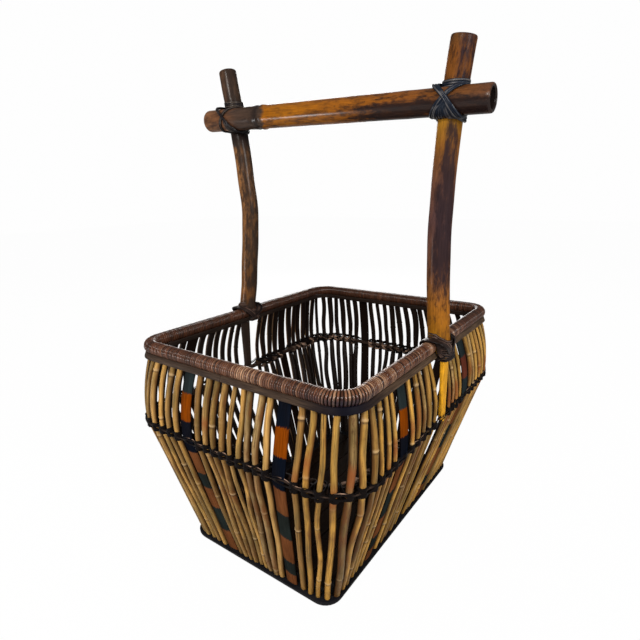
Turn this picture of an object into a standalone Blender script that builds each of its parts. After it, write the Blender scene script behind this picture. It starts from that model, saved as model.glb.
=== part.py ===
"""Bamboo basket with a lashed pole handle, modelled as its separate pieces.

Lengths are in metres and +Z is up. The origin is the centre of the underside.
X runs along the crossbar, across the short way of the basket, and Y runs along its long way.
The wall is a ring of canes and flat staves that swells from the base to the waist and closes to the rim.
"""

from math import cos, pi, sin

import bmesh
import bpy
import numpy as np
from mathutils import Matrix, Vector

# Clearances
GAP = 0.0003
WALL_CLEARANCE = 0.0005
OVERRUN = 0.004

# Rim: a round core bound with cane strip, and a flat band on each side of the cane tops
RIM_SPAN_X = 0.286
RIM_SPAN_Y = 0.363
RIM_Z = 0.2566
RIM_CORNER_RADIUS = 0.024
RIM_DIAMETER = 0.0160
WRAP_THICKNESS = 0.0014
WRAP_BREAK = 0.010
RIM_BAND_HEIGHT = 0.0085
RIM_BAND_THICKNESS = 0.0022

# Waist, measured over the canes
WAIST_SPAN_X = 0.316
WAIST_SPAN_Y = 0.4035
WAIST_Z = 0.1690
WAIST_CORNER_RADIUS = 0.050
WAIST_HOOP_DIAMETER = 0.0065
WAIST_CORD_HEIGHT = 0.0034
WAIST_CORD_THICKNESS = 0.0022
WAIST_CORD_BITE = 0.0010
BULGE = 0.0042

# Base, measured over its outer band
BASE_SPAN_X = 0.216
BASE_SPAN_Y = 0.329
BASE_CORNER_RADIUS = 0.021
BASE_BAND_HEIGHT = 0.0065
BASE_BAND_THICKNESS = 0.0030
CANE_FOOT_Z = 0.0015

# Floor
BATTEN_COUNT = 3
BATTEN_WIDTH = 0.016
BATTEN_THICKNESS = 0.0040
BATTEN_INSET = 0.040
SLAT_COUNT = 7
SLAT_SPACING = 0.0012
SLAT_MARGIN = 0.0035
SLAT_THICKNESS = 0.0025
SLAT_SINK = 0.0010

# Wall canes and staves
CANE_DIAMETER = 0.0074
CANE_SPACING = 0.0048
STAVE_WIDTH = 0.0170
STAVE_THICKNESS = 0.0030

# Handle posts: each stands on the rim and runs on down as a tongue outside the wall
POST_SIDES = {
    "right": {"sign": 1, "diameter": 0.0245, "rise": 0.3060, "narrow_rise": 0.1154,
              "narrow_out": 0.0000, "top_out": 0.0155, "bend_power": 2.0},
    "left": {"sign": -1, "diameter": 0.0225, "rise": 0.3216, "narrow_rise": 0.1434,
             "narrow_out": -0.0120, "top_out": 0.0130, "bend_power": 1.5},
}
POST_STEPS = 10
POST_CHEEK = 0.0020
POST_TIP_ROUNDING = 0.0020
TONGUE_WIDTH = 0.0140
TONGUE_THICKNESS = 0.0040
TONGUE_SPACING = 0.0100
TONGUE_END = 0.0045

# Crossbar
BAR_DIAMETER_LEFT = 0.0270
BAR_DIAMETER_RIGHT = 0.0260
BAR_OVERHANG_LEFT = 0.0380
BAR_OVERHANG_RIGHT = 0.0500
BAR_RISE_LEFT = 0.2623
BAR_RISE_RIGHT = 0.2466
BAR_SET_FORWARD = 0.0126
BAR_WALL = 0.0040
BAR_BORE_DEPTH = 0.0220
BAR_END_ROUNDING = 0.0020
BAR_NODE_HEIGHT = 0.0010
BAR_NODE_WIDTH = 0.0050
BAR_NODE_SHARES = (-0.502, 0.551)

# Lashings
STRAND_DIAMETER = 0.0022
STRAND_SPACING = 0.0022
LAYER_SPACING = 0.0006
CROSS_LOOPS = 3
COLLAR_LOOPS = 2
RIM_LOOPS = 2
LOOP_POINTS = 24
JOINT_ROUNDS = 6
RIM_LOOP_SQUARENESS_SHARE = 0.6

# Where staves stand on each side, as shares of half that side, anticlockwise seen from above
STAVE_SHARES = {
    "right": (-0.51, 0.38),
    "back": (-0.50, 0.41),
    "left": (-0.41, 0.57),
    "front": (-0.35, 0.52),
}
SIDES = ("right", "back", "left", "front")

# Fineness of round shapes
CORNER_STEPS = 6
TURN_STEPS = 16
CANE_LEVEL_SHARES = (0.36, 0.70)

# Sizes that follow from the ones above
RIM_RADIUS = RIM_DIAMETER / 2
CANE_RADIUS = CANE_DIAMETER / 2
STRAND_RADIUS = STRAND_DIAMETER / 2
WALL_TOP_Z = RIM_Z - RIM_RADIUS - GAP
RIM_BAND_FOOT_Z = WALL_TOP_Z - RIM_BAND_HEIGHT
BASE_INSET = BASE_BAND_THICKNESS + 2 * WALL_CLEARANCE + CANE_RADIUS
STRAND_PITCH = STRAND_DIAMETER + STRAND_SPACING
FLUSH_OUT = CANE_RADIUS - WAIST_CORD_BITE - GAP

COLOURS = {
    "cane": (0.40, 0.25, 0.085),
    "stave": (0.055, 0.050, 0.055),
    "rim_wrap": (0.115, 0.045, 0.025),
    "rim_band": (0.055, 0.036, 0.022),
    "core": (0.030, 0.018, 0.012),
    "base_band": (0.006, 0.006, 0.007),
    "binding": (0.020, 0.012, 0.010),
    "lashing": (0.010, 0.010, 0.014),
    "post": (0.300, 0.130, 0.022),
    "dark_post": (0.105, 0.050, 0.022),
    "crossbar": (0.270, 0.120, 0.022),
    "floor": (0.040, 0.024, 0.012),
}
GLOSS = {"post": 0.35, "dark_post": 0.35, "crossbar": 0.28, "rim_wrap": 0.42, "cane": 0.50}
DEFAULT_ROUGHNESS = 0.6


# Collections and materials

def clear_scene():
    """Remove whatever the opened file holds."""
    for item in list(bpy.data.objects):
        bpy.data.objects.remove(item, do_unlink=True)


def collection(name):
    """Return a collection of this name, linked to the scene."""
    made = bpy.data.collections.new(name)
    bpy.context.scene.collection.children.link(made)
    return made


def material(kind):
    """Return the material of one kind of piece, made on first use."""
    name = "basket_" + kind
    found = bpy.data.materials.get(name)
    if found:
        return found
    made = bpy.data.materials.new(name)
    made.use_nodes = True
    shader = made.node_tree.nodes["Principled BSDF"]
    shader.inputs["Base Color"].default_value = (*COLOURS[kind], 1.0)
    shader.inputs["Roughness"].default_value = GLOSS.get(kind, DEFAULT_ROUGHNESS)
    shader.inputs["Metallic"].default_value = 0.0
    return made


# The wall: its outline at any height, and places along that outline

def blend(low, high, share):
    """Return the value a share of the way from low to high."""
    return low + (high - low) * share


def grown(outline, amount):
    """Return an outline moved outward by an amount."""
    return tuple(value + amount for value in outline)


def swelling_wall(z):
    """Return half the X span, half the Y span and the corner radius of the smooth wall at height z."""
    base = grown((BASE_SPAN_X / 2, BASE_SPAN_Y / 2, BASE_CORNER_RADIUS), -BASE_INSET)
    waist = grown((WAIST_SPAN_X / 2, WAIST_SPAN_Y / 2, WAIST_CORNER_RADIUS), -CANE_RADIUS)
    rim = (RIM_SPAN_X / 2, RIM_SPAN_Y / 2, RIM_CORNER_RADIUS)
    if z <= WAIST_Z:
        share = z / WAIST_Z
        return tuple(blend(b, w, share) for b, w in zip(base, waist))
    share = (z - WAIST_Z) / (WALL_TOP_Z - WAIST_Z)
    swell = 4 * BULGE * share * (1 - share)
    return tuple(blend(w, r, share) + swell for w, r in zip(waist, rim))


def cane_levels():
    """Return the heights between which a cane runs straight, from the top down."""
    between = [blend(WALL_TOP_Z, WAIST_Z, share) for share in CANE_LEVEL_SHARES]
    return [WALL_TOP_Z, *between, WAIST_Z, CANE_FOOT_Z]


def level_pair(z):
    """Return the cane levels just above and just below height z."""
    levels = cane_levels()
    above = min((level for level in levels[:-1] if level >= z), default=levels[0])
    return above, levels[levels.index(above) + 1]


def wall(z):
    """Return the outline of the cane centre lines at height z, where canes run straight between levels."""
    above, below = level_pair(z)
    share = (z - below) / (above - below)
    return tuple(blend(low, high, share) for low, high in zip(swelling_wall(below), swelling_wall(above)))


def wall_slope(z):
    """Return the steepest lean of the canes at height z, as a run over a rise."""
    above, below = level_pair(z)
    run_x, run_y, run_r = (a - b for a, b in zip(swelling_wall(above), swelling_wall(below)))
    run_corner = (run_x + run_y - 2 * run_r) / 2 ** 0.5 + run_r
    return max(abs(run_x), abs(run_y), abs(run_corner)) / (above - below)


def wall_reach(z):
    """Return how far a leaning cane reaches from its centre line at height z, with clearance."""
    radius = wall(z)[2] + CANE_RADIUS
    return CANE_RADIUS * (1 + wall_slope(z) ** 2) ** 0.5 + WALL_CLEARANCE + facet_swell(radius)


def cane_heights():
    """Return the heights of a cane's points, its top lowered so that its slanting end clears the rim."""
    slope = wall_slope(WALL_TOP_Z)
    top = WALL_TOP_Z - CANE_RADIUS * slope / (1 + slope ** 2) ** 0.5
    return [top, *cane_levels()[1:]]


def outline_length(outline):
    """Return the length once round an outline."""
    half_x, half_y, radius = outline
    return 4 * (half_x + half_y - 2 * radius) + 2 * pi * radius


def station(outline, side, share):
    """Return how far round the outline a share of half a side lies, from the middle of the right side."""
    half_x, half_y, _ = outline
    number = SIDES.index(side)
    half_side = half_y if number % 2 == 0 else half_x
    return number * outline_length(outline) / 4 + share * half_side


def place(outline, distance):
    """Return the point at a distance round the outline, and the outward direction there."""
    half_x, half_y, radius = outline
    quarter = outline_length(outline) / 4
    distance = distance % (4 * quarter)
    number = int(distance // quarter)
    along = distance - number * quarter
    run_in, run_out = half_y - radius, half_x - radius
    if number % 2 == 1:
        run_in, run_out = run_out, run_in
    if along <= run_in:
        point, angle = Vector((run_out + radius, along)), 0.0
    elif along <= run_in + radius * pi / 2:
        angle = (along - run_in) / radius
        point = Vector((run_out + radius * cos(angle), run_in + radius * sin(angle)))
    else:
        angle = pi / 2
        point = Vector((run_out - (along - run_in - radius * pi / 2), run_in + radius))
    turn = Matrix.Rotation(number * pi / 2, 2)
    return turn @ point, turn @ Vector((cos(angle), sin(angle)))


def ring_points(outline, z):
    """Return points once round the outline at height z, with the corners as arcs."""
    half_x, half_y, radius = outline
    points = []
    for number in range(4):
        centre_x = (half_x - radius) * (1, -1, -1, 1)[number]
        centre_y = (half_y - radius) * (1, 1, -1, -1)[number]
        for step in range(CORNER_STEPS + 1):
            angle = (number + step / CORNER_STEPS) * pi / 2
            points.append((centre_x + radius * cos(angle), centre_y + radius * sin(angle), z))
    return points


def facet_swell(radius):
    """Return how far the middle of one facet of a corner arc lies inside the arc."""
    return radius * (1 - cos(pi / (4 * CORNER_STEPS)))


# Shapes

def tube_curve(name, paths, diameter, resolution, closed=False, caps=True, end_radii=None):
    """Return a curve object with one round tube for each path."""
    curve = bpy.data.curves.new(name, "CURVE")
    curve.dimensions = "3D"
    curve.bevel_depth = diameter / 2
    curve.bevel_resolution = resolution
    curve.use_fill_caps = caps and not closed
    for path in paths:
        spline = curve.splines.new("POLY")
        spline.points.add(len(path) - 1)
        for point, spot in zip(spline.points, path):
            point.co = (*spot, 1.0)
        for index, share in (end_radii or {}).items():
            spline.points[index].radius = share
        spline.use_cyclic_u = closed
    return bpy.data.objects.new(name, curve)


def add_part(item, kind, parts):
    """Give an object its material and put it among the parts."""
    item.data.materials.clear()
    item.data.materials.append(material(kind))
    parts.objects.link(item)
    return item


def add_cutter(item, cutters):
    """Put an object among the cutters, drawn as wire and left out of renders."""
    item.hide_render = True
    item.display_type = "WIRE"
    cutters.objects.link(item)
    return item


def meshed(item, holder):
    """Turn a curve object into a welded mesh object of the same name, shaded smooth."""
    name = item.name
    if not item.users_collection:
        holder.objects.link(item)
    bpy.context.view_layer.update()
    evaluated = item.evaluated_get(bpy.context.evaluated_depsgraph_get())
    mesh = bpy.data.meshes.new_from_object(evaluated)
    weld = bmesh.new()
    weld.from_mesh(mesh)
    bmesh.ops.remove_doubles(weld, verts=weld.verts, dist=GAP / 10)
    bmesh.ops.recalc_face_normals(weld, faces=weld.faces)
    weld.to_mesh(mesh)
    weld.free()
    placed = item.matrix_world.copy()
    bpy.data.objects.remove(item, do_unlink=True)
    made = bpy.data.objects.new(name, mesh)
    made.matrix_world = placed
    mesh.shade_smooth()
    return made


def bridged(name, rows, closed):
    """Return a mesh object of quads between equal rows of points."""
    work = bmesh.new()
    placed = [[work.verts.new(point) for point in row] for row in rows]
    count = len(placed[0])
    for low, high in zip(placed, placed[1:]):
        for index in range(count if closed else count - 1):
            after = (index + 1) % count
            work.faces.new((low[index], low[after], high[after], high[index]))
    mesh = bpy.data.meshes.new(name)
    work.to_mesh(mesh)
    work.free()
    return bpy.data.objects.new(name, mesh)


def thicken(item, thickness, offset):
    """Give an open surface its thickness; offset 1 grows outward, -1 inward and 0 both ways."""
    solid = item.modifiers.new("Thickness", "SOLIDIFY")
    solid.thickness = thickness
    solid.offset = offset
    solid.use_even_offset = True
    return item


def cut(item, cutter, operation="DIFFERENCE"):
    """Cut a mesh object by another, or join the other to it."""
    change = item.modifiers.new(operation.title(), "BOOLEAN")
    change.operation = operation
    change.solver = "EXACT"
    change.object = cutter


def blocks(name, size, centres):
    """Return one object that holds a box of one size at each centre."""
    work = bmesh.new()
    for centre in centres:
        made = bmesh.ops.create_cube(work, size=1.0)
        bmesh.ops.scale(work, vec=size, verts=made["verts"])
        bmesh.ops.translate(work, vec=centre, verts=made["verts"])
    mesh = bpy.data.meshes.new(name)
    work.to_mesh(mesh)
    work.free()
    return bpy.data.objects.new(name, mesh)


# Hoops and bands

def side_band(name, foot_z, height, thickness, outside, kind, parts):
    """Make a flat hoop that lies along the canes, outside or inside them."""
    sign = 1 if outside else -1
    rows = []
    for z in (foot_z, foot_z + height):
        rows.append(ring_points(grown(wall(z), sign * wall_reach(z)), z))
    return add_part(thicken(bridged(name, rows, closed=True), thickness, sign), kind, parts)


def rim_outline():
    """Return the outline of the rim's centre line."""
    return RIM_SPAN_X / 2, RIM_SPAN_Y / 2, RIM_CORNER_RADIUS


def rim_half_path(sign):
    """Return the rim's centre line from one post round the front or back to the other."""
    half_x = RIM_SPAN_X / 2
    ring = [point for point in ring_points(rim_outline(), RIM_Z) if point[1] * sign > 0]
    if sign < 0:
        ring.sort(key=lambda point: np.arctan2(point[1], point[0]))
    start_x = half_x * np.sign(ring[0][0])
    end_y = sign * WRAP_BREAK / 2
    return [(start_x, end_y, RIM_Z), *ring, (-start_x, end_y, RIM_Z)]


def make_rim(parts, cutters):
    """Make the rim's core, its binding in two stretches and its two flat bands."""
    core_diameter = RIM_DIAMETER - 2 * WRAP_THICKNESS - 2 * GAP
    core = tube_curve("rim_core", [ring_points(rim_outline(), RIM_Z)], core_diameter, 2, closed=True)
    add_part(core, "core", parts)
    for name, sign in (("rim_wrap_front", -1), ("rim_wrap_back", 1)):
        sleeve = tube_curve(name, [rim_half_path(sign)], RIM_DIAMETER, 2, caps=False)
        sleeve = thicken(meshed(sleeve, cutters), WRAP_THICKNESS, -1)
        add_part(sleeve, "rim_wrap", parts)
    for name, outside in (("rim_band_outer", True), ("rim_band_inner", False)):
        side_band(name, RIM_BAND_FOOT_Z, RIM_BAND_HEIGHT, RIM_BAND_THICKNESS, outside, "rim_band", parts)


def make_waist(parts):
    """Make the hoop inside the waist, to which the cord outside holds the canes."""
    inside = -(CANE_RADIUS + WALL_CLEARANCE + WAIST_HOOP_DIAMETER / 2)
    ring = ring_points(grown(wall(WAIST_Z), inside), WAIST_Z)
    hoop = tube_curve("waist_hoop", [ring], WAIST_HOOP_DIAMETER, 2, closed=True)
    add_part(hoop, "binding", parts)


def make_base(parts, cutters):
    """Make the base bands and the floor: slats woven over battens, whose undersides the basket stands on."""
    ground_size = (2 * BASE_SPAN_X, 2 * BASE_SPAN_Y, 2 * OVERRUN)
    ground = add_cutter(blocks("ground", ground_size, [(0.0, 0.0, -OVERRUN)]), cutters)
    for name, outside in (("base_band_outer", True), ("base_band_inner", False)):
        height = BASE_BAND_HEIGHT + OVERRUN
        cut(side_band(name, -OVERRUN, height, BASE_BAND_THICKNESS, outside, "base_band", parts), ground)
    inner = wall_reach(0.0) + BASE_BAND_THICKNESS + WALL_CLEARANCE
    half_x, half_y, _ = grown(wall(0.0), -inner)
    reach = half_y - BATTEN_INSET - BATTEN_WIDTH / 2
    rows = [blend(-reach, reach, index / (BATTEN_COUNT - 1)) for index in range(BATTEN_COUNT)]
    floor = blocks("floor", (2 * half_x, BATTEN_WIDTH, BATTEN_THICKNESS),
                   [(0.0, y, BATTEN_THICKNESS / 2) for y in rows])
    add_part(floor, "floor", parts)
    slats_across = 2 * (half_x - SLAT_MARGIN) - (SLAT_COUNT - 1) * SLAT_SPACING
    slat_width = slats_across / SLAT_COUNT
    pitch = slat_width + SLAT_SPACING
    slat_z = BATTEN_THICKNESS - SLAT_SINK + SLAT_THICKNESS / 2
    columns = [(index - (SLAT_COUNT - 1) / 2) * pitch for index in range(SLAT_COUNT)]
    slats = blocks("slats", (slat_width, 2 * half_y, SLAT_THICKNESS), [(x, 0.0, slat_z) for x in columns])
    cut(floor, add_cutter(slats, cutters), "UNION")


# Canes and staves

def uprights():
    """Return the staves and post tongues in order round the basket, from the right post's tongue."""
    found = []
    for side in SIDES:
        items = [(share, "stave") for share in STAVE_SHARES[side]]
        if side in POST_SIDES:
            items.append((0.0, "tongue"))
        found += [(side, share, sort) for share, sort in items]
    found.sort(key=lambda item: station(wall(WAIST_Z), item[0], item[1]) % outline_length(wall(WAIST_Z)))
    return found


def half_clear(sort, z):
    """Return half the width that a stave or a tongue keeps free of canes at height z."""
    if sort == "stave":
        return STAVE_WIDTH / 2
    share = min(z / WAIST_Z, 1.0)
    return blend(CANE_RADIUS, TONGUE_WIDTH / 2 + TONGUE_SPACING - CANE_SPACING, share)


def bay_ends(first, last, outline, z):
    """Return where the free stretch of the outline between two uprights starts and ends."""
    start = station(outline, first[0], first[1])
    end = station(outline, last[0], last[1])
    if end <= start:
        end += outline_length(outline)
    return start + half_clear(first[2], z), end - half_clear(last[2], z)


def cane_places(first, last, count, z):
    """Return how far round the outline each cane of a bay stands at height z."""
    start, end = bay_ends(first, last, wall(z), z)
    space = (end - start - count * CANE_DIAMETER) / (count + 1)
    return [start + space + CANE_RADIUS + index * (CANE_DIAMETER + space) for index in range(count)]


def cord_stretch(name, start, end):
    """Return the flat cord along the outside of the waist between two distances round it."""
    outline = grown(wall(WAIST_Z), CANE_RADIUS - WAIST_CORD_BITE)
    scale = outline_length(outline) / outline_length(wall(WAIST_Z))
    quarter = outline_length(outline) / 4
    half_x, half_y, radius = outline
    stops = []
    for number in range(-1, 2 * len(SIDES)):
        run_in = (half_x if number % 2 else half_y) - radius
        corner = number * quarter + run_in
        stops += [corner + radius * pi / 2 * step / CORNER_STEPS for step in range(CORNER_STEPS + 1)]
    inner = [stop for stop in stops if start * scale < stop < end * scale]
    spots = [place(outline, distance)[0] for distance in (start * scale, *inner, end * scale)]
    heights = (WAIST_Z - WAIST_CORD_HEIGHT / 2, WAIST_Z + WAIST_CORD_HEIGHT / 2)
    rows = [[(*spot, z) for spot in spots] for z in heights]
    return thicken(bridged(name, rows, closed=False), WAIST_CORD_THICKNESS, 1)


def make_canes(parts, cutters):
    """Make the canes of each bay between uprights, held together by their stretch of the waist cord."""
    marks = uprights()
    names = ("canes_right_rear", "canes_back_right_corner", "canes_back", "canes_back_left_corner",
             "canes_left_rear", "canes_left_fore", "canes_front_left_corner", "canes_front",
             "canes_front_right_corner", "canes_right_fore")
    bays = []
    for first, last in zip(marks, marks[1:] + marks[:1]):
        start, end = bay_ends(first, last, wall(WALL_TOP_Z), WALL_TOP_Z)
        count = round((end - start - CANE_SPACING) / (CANE_DIAMETER + CANE_SPACING))
        bays.append((first, last, count))
    around = outline_length(wall(WAIST_Z))
    for name, bay, after in zip(names, bays, bays[1:] + bays[:1]):
        paths = [[] for _ in range(bay[2])]
        for z in cane_heights():
            for path, distance in zip(paths, cane_places(*bay, z)):
                path.append((*place(wall(z), distance)[0], z))
        canes = meshed(tube_curve(name, paths, CANE_DIAMETER, 1), cutters)
        add_part(canes, "cane", parts)
        cord_start = cane_places(*bay, WAIST_Z)[0] - CANE_RADIUS
        cord_end = cane_places(*after, WAIST_Z)[0] - CANE_RADIUS - 2 * GAP
        if cord_end < cord_start:
            cord_end += around
        cord = cord_stretch(name.replace("canes", "cord"), cord_start, cord_end)
        cut(canes, add_cutter(cord, cutters), "UNION")


def strip(name, spots, outward, widths, thickness):
    """Return a flat strip whose middle follows the spots, square to the outward direction."""
    across = Vector((-outward[1], outward[0], 0.0))
    rows = []
    for spot, width in zip(spots, widths):
        middle = Vector(spot)
        rows.append([middle - across * width / 2, middle + across * width / 2])
    return thicken(bridged(name, rows, closed=False), thickness, 0)


def make_staves(parts):
    """Make the flat staves, set just inside the waist cord."""
    for side in SIDES:
        for share, order in zip(STAVE_SHARES[side], ("first", "second")):
            spots = []
            for z in cane_heights():
                outline = wall(z)
                spot, outward = place(outline, station(outline, side, share))
                spot = spot + outward * (FLUSH_OUT - STAVE_THICKNESS / 2)
                spots.append((*spot, z))
            name = f"stave_{side}_{order}"
            widths = [STAVE_WIDTH] * len(spots)
            add_part(strip(name, spots, outward, widths, STAVE_THICKNESS), "stave", parts)


# Handle

def post_out(post, z):
    """Return how far from the basket's centre a post's axis stands at height z."""
    narrow_z = RIM_Z + post["narrow_rise"]
    top_z = RIM_Z + post["rise"]
    share = abs(z - narrow_z) / (top_z - narrow_z)
    bend = share ** post["bend_power"]
    return RIM_SPAN_X / 2 + blend(post["narrow_out"], post["top_out"], bend)


def post_path(post, foot_z):
    """Return a post's axis from its foot to its top, with a last short step for the rounded tip."""
    top_z = RIM_Z + post["rise"]
    shares = [index / (POST_STEPS - 1) for index in range(POST_STEPS)]
    heights = [blend(foot_z, top_z - POST_TIP_ROUNDING, share) for share in shares]
    heights.append(top_z)
    return [(post["sign"] * post_out(post, z), 0.0, z) for z in heights]


def tongue_out(z):
    """Return how far out the middle of the tongue runs at height z, down the rim and the wall."""
    beside_rim = RIM_SPAN_X / 2 + RIM_RADIUS + GAP
    beside_canes = wall(RIM_BAND_FOOT_Z)[0] + wall_reach(RIM_BAND_FOOT_Z)
    beside_band = beside_canes + RIM_BAND_THICKNESS + WALL_CLEARANCE
    at_waist = wall(WAIST_Z)[0] + FLUSH_OUT - TONGUE_THICKNESS
    clear = max(beside_rim, beside_band)
    if z >= RIM_BAND_FOOT_Z:
        return clear + TONGUE_THICKNESS / 2
    share = min((RIM_BAND_FOOT_Z - z) / (RIM_BAND_FOOT_Z - WAIST_Z), 1.0)
    return blend(clear, at_waist, share) + TONGUE_THICKNESS / 2


def make_post(side, post, parts, cutters):
    """Make a post: a tapering pole notched over the rim, in one piece with its tongue."""
    name = f"post_{side}"
    path = post_path(post, RIM_Z - POST_CHEEK)
    tip_share = 1 - POST_TIP_ROUNDING / post["diameter"]
    pole = tube_curve(name, [path], post["diameter"], 4, end_radii={len(path) - 1: tip_share})
    pole = add_part(meshed(pole, cutters), "post" if side == "right" else "dark_post", parts)
    seat_radius = RIM_RADIUS + GAP
    seat_path = [(post["sign"] * RIM_SPAN_X / 2, y, RIM_Z) for y in (-post["diameter"], post["diameter"])]
    seat = meshed(tube_curve(f"seat_{side}", [seat_path], 2 * seat_radius, 6), cutters)
    cut(pole, add_cutter(seat, cutters))
    heights = [RIM_Z + TONGUE_WIDTH / 2, RIM_BAND_FOOT_Z, blend(RIM_BAND_FOOT_Z, WAIST_Z, 0.5), WAIST_Z]
    heights += [WAIST_Z - TONGUE_END / 2, WAIST_Z - TONGUE_END]
    spots = [(post["sign"] * tongue_out(z), 0.0, z) for z in heights]
    width_shares = (1.0, 1.0, 1.0, 1.0, 0.9, 0.5)
    widths = [share * TONGUE_WIDTH for share in width_shares]
    tongue = strip(f"tongue_{side}", spots, (post["sign"], 0.0), widths, TONGUE_THICKNESS)
    cut(pole, add_cutter(tongue, cutters), "UNION")


def bar_ends():
    """Return the crossbar's left and right end points."""
    left = Vector((-RIM_SPAN_X / 2 - BAR_OVERHANG_LEFT, -BAR_SET_FORWARD, RIM_Z + BAR_RISE_LEFT))
    right = Vector((RIM_SPAN_X / 2 + BAR_OVERHANG_RIGHT, -BAR_SET_FORWARD, RIM_Z + BAR_RISE_RIGHT))
    return left, right


def bar_radius(share):
    """Return the crossbar's radius a share of the way from its left end."""
    return blend(BAR_DIAMETER_LEFT, BAR_DIAMETER_RIGHT, share) / 2


def bar_profile(length):
    """Return the crossbar's turned profile, from the axis in the right bore to the axis in the left one."""
    half = length / 2
    floor = half - BAR_BORE_DEPTH
    right, left = bar_radius(1.0), bar_radius(0.0)
    profile = [(0.0, floor), (right - BAR_WALL, floor), (right - BAR_WALL, half)]
    profile += [(right - BAR_END_ROUNDING, half), (right, half - BAR_END_ROUNDING)]
    for node_share in sorted(BAR_NODE_SHARES, reverse=True):
        centre = node_share * half
        radius = bar_radius((node_share + 1) / 2)
        profile += [(radius, centre + BAR_NODE_WIDTH), (radius + BAR_NODE_HEIGHT, centre)]
        profile += [(radius, centre - BAR_NODE_WIDTH)]
    profile += [(left, BAR_END_ROUNDING - half), (left - BAR_END_ROUNDING, -half)]
    profile += [(left - BAR_WALL, -half), (left - BAR_WALL, -floor), (0.0, -floor)]
    return profile


def make_crossbar(parts, cutters):
    """Make the crossbar, turned about its axis and notched over both posts."""
    left, right = bar_ends()
    run = right - left
    mesh = bpy.data.meshes.new("crossbar")
    work = bmesh.new()
    line = [work.verts.new((radius, 0.0, height)) for radius, height in bar_profile(run.length)]
    for first, last in zip(line, line[1:]):
        work.edges.new((first, last))
    work.to_mesh(mesh)
    work.free()
    bar = bpy.data.objects.new("crossbar", mesh)
    turn = bar.modifiers.new("Turn", "SCREW")
    turn.axis = "Z"
    turn.steps = TURN_STEPS
    turn.render_steps = TURN_STEPS
    turn.use_merge_vertices = True
    turn.merge_threshold = GAP / 10
    turn.use_smooth_shade = True
    bar.location = (left + right) / 2
    bar.rotation_mode = "QUATERNION"
    bar.rotation_quaternion = run.to_track_quat("Z", "Y")
    add_part(bar, "crossbar", parts)
    for side, post in POST_SIDES.items():
        low = RIM_Z + min(BAR_RISE_LEFT, BAR_RISE_RIGHT) - BAR_DIAMETER_LEFT
        path = post_path(post, low)[:-1]
        path.append((post["sign"] * post_out(post, path[-1][2] + OVERRUN), 0.0, path[-1][2] + OVERRUN))
        notch = tube_curve(f"notch_{side}", [path], post["diameter"] + 2 * GAP, 4)
        cut(bar, add_cutter(meshed(notch, cutters), cutters))


# Lashings

def joint_frame(post):
    """Return a crossbar joint: the bar's axis point there, both axes' directions, and the bar's radius."""
    left, right = bar_ends()
    run = right - left
    share = 0.5
    for _ in range(JOINT_ROUNDS):
        z = left.z + run.z * share
        share = (post["sign"] * post_out(post, z) - left.x) / run.x
    centre = left + run * share
    step = post["diameter"]
    lean = post["sign"] * (post_out(post, centre.z + step) - post_out(post, centre.z - step))
    return centre, run.normalized(), Vector((lean, 0.0, 2 * step)).normalized(), bar_radius(share)


def pushed_out(point, axis_point, axis, reach):
    """Return a point moved straight out from an axis until it lies at least a reach away."""
    along = axis_point + axis * (point - axis_point).dot(axis)
    out = point - along
    return along + out * max(1.0, reach / out.length)


def cross_strand(post, direction, layer, loops, steps):
    """Return points of one strand wound slantwise round a crossbar joint, starting behind the post.

    Over the front it keeps one distance from the bar's axis, and behind it keeps one from the post's axis.
    Each loop lies one pitch further along the bar in front and along the post behind, so where it turns
    from front to back it swings out by enough for all the loops to pass side by side.
    """
    centre, along_bar, along_post, bar = joint_frame(post)
    lift = STRAND_RADIUS + GAP + WALL_CLEARANCE + layer * (STRAND_DIAMETER + LAYER_SPACING)
    reach_bar, reach_post = bar + lift, post["diameter"] / 2 + lift
    behind = centre + Vector((0.0, BAR_SET_FORWARD, 0.0))
    points = []
    for index in range(int(loops * steps) + 1):
        turn = index / steps
        angle = 2 * pi * (turn - 0.25)
        shift = (turn - loops / 2) * STRAND_PITCH
        front = min(max(0.5 + 2 * sin(angle), 0.0), 1.0)
        swing = loops * STRAND_PITCH * front * (1 - front)
        along = direction * ((reach_post + swing) * cos(angle) + shift * front)
        up = (reach_bar + swing) * cos(angle) - shift * (1 - front)
        depth = BAR_SET_FORWARD * (1 - front) - blend(reach_post, reach_bar, front) * sin(angle)
        point = centre + along_bar * along + along_post * up + Vector((0.0, depth, 0.0))
        point = pushed_out(point, centre, along_bar, reach_bar)
        points.append(pushed_out(point, behind, along_post, reach_post))
    return points


def collar_strand(post, loops, steps):
    """Return points of a strand wound round a post just above its crossbar joint."""
    centre, _, _, bar = joint_frame(post)
    layers = STRAND_RADIUS + 2 * (STRAND_DIAMETER + LAYER_SPACING)
    low = centre.z + bar + layers + STRAND_PITCH
    reach = post["diameter"] / 2 + STRAND_RADIUS + GAP + WALL_CLEARANCE
    points = []
    for index in range(int(loops * steps) + 1):
        turn = index / steps
        z = low + turn * STRAND_PITCH
        out = post["sign"] * post_out(post, z)
        angle = 2 * pi * turn
        points.append(Vector((out + reach * cos(angle), reach * sin(angle), z)))
    return points


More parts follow.
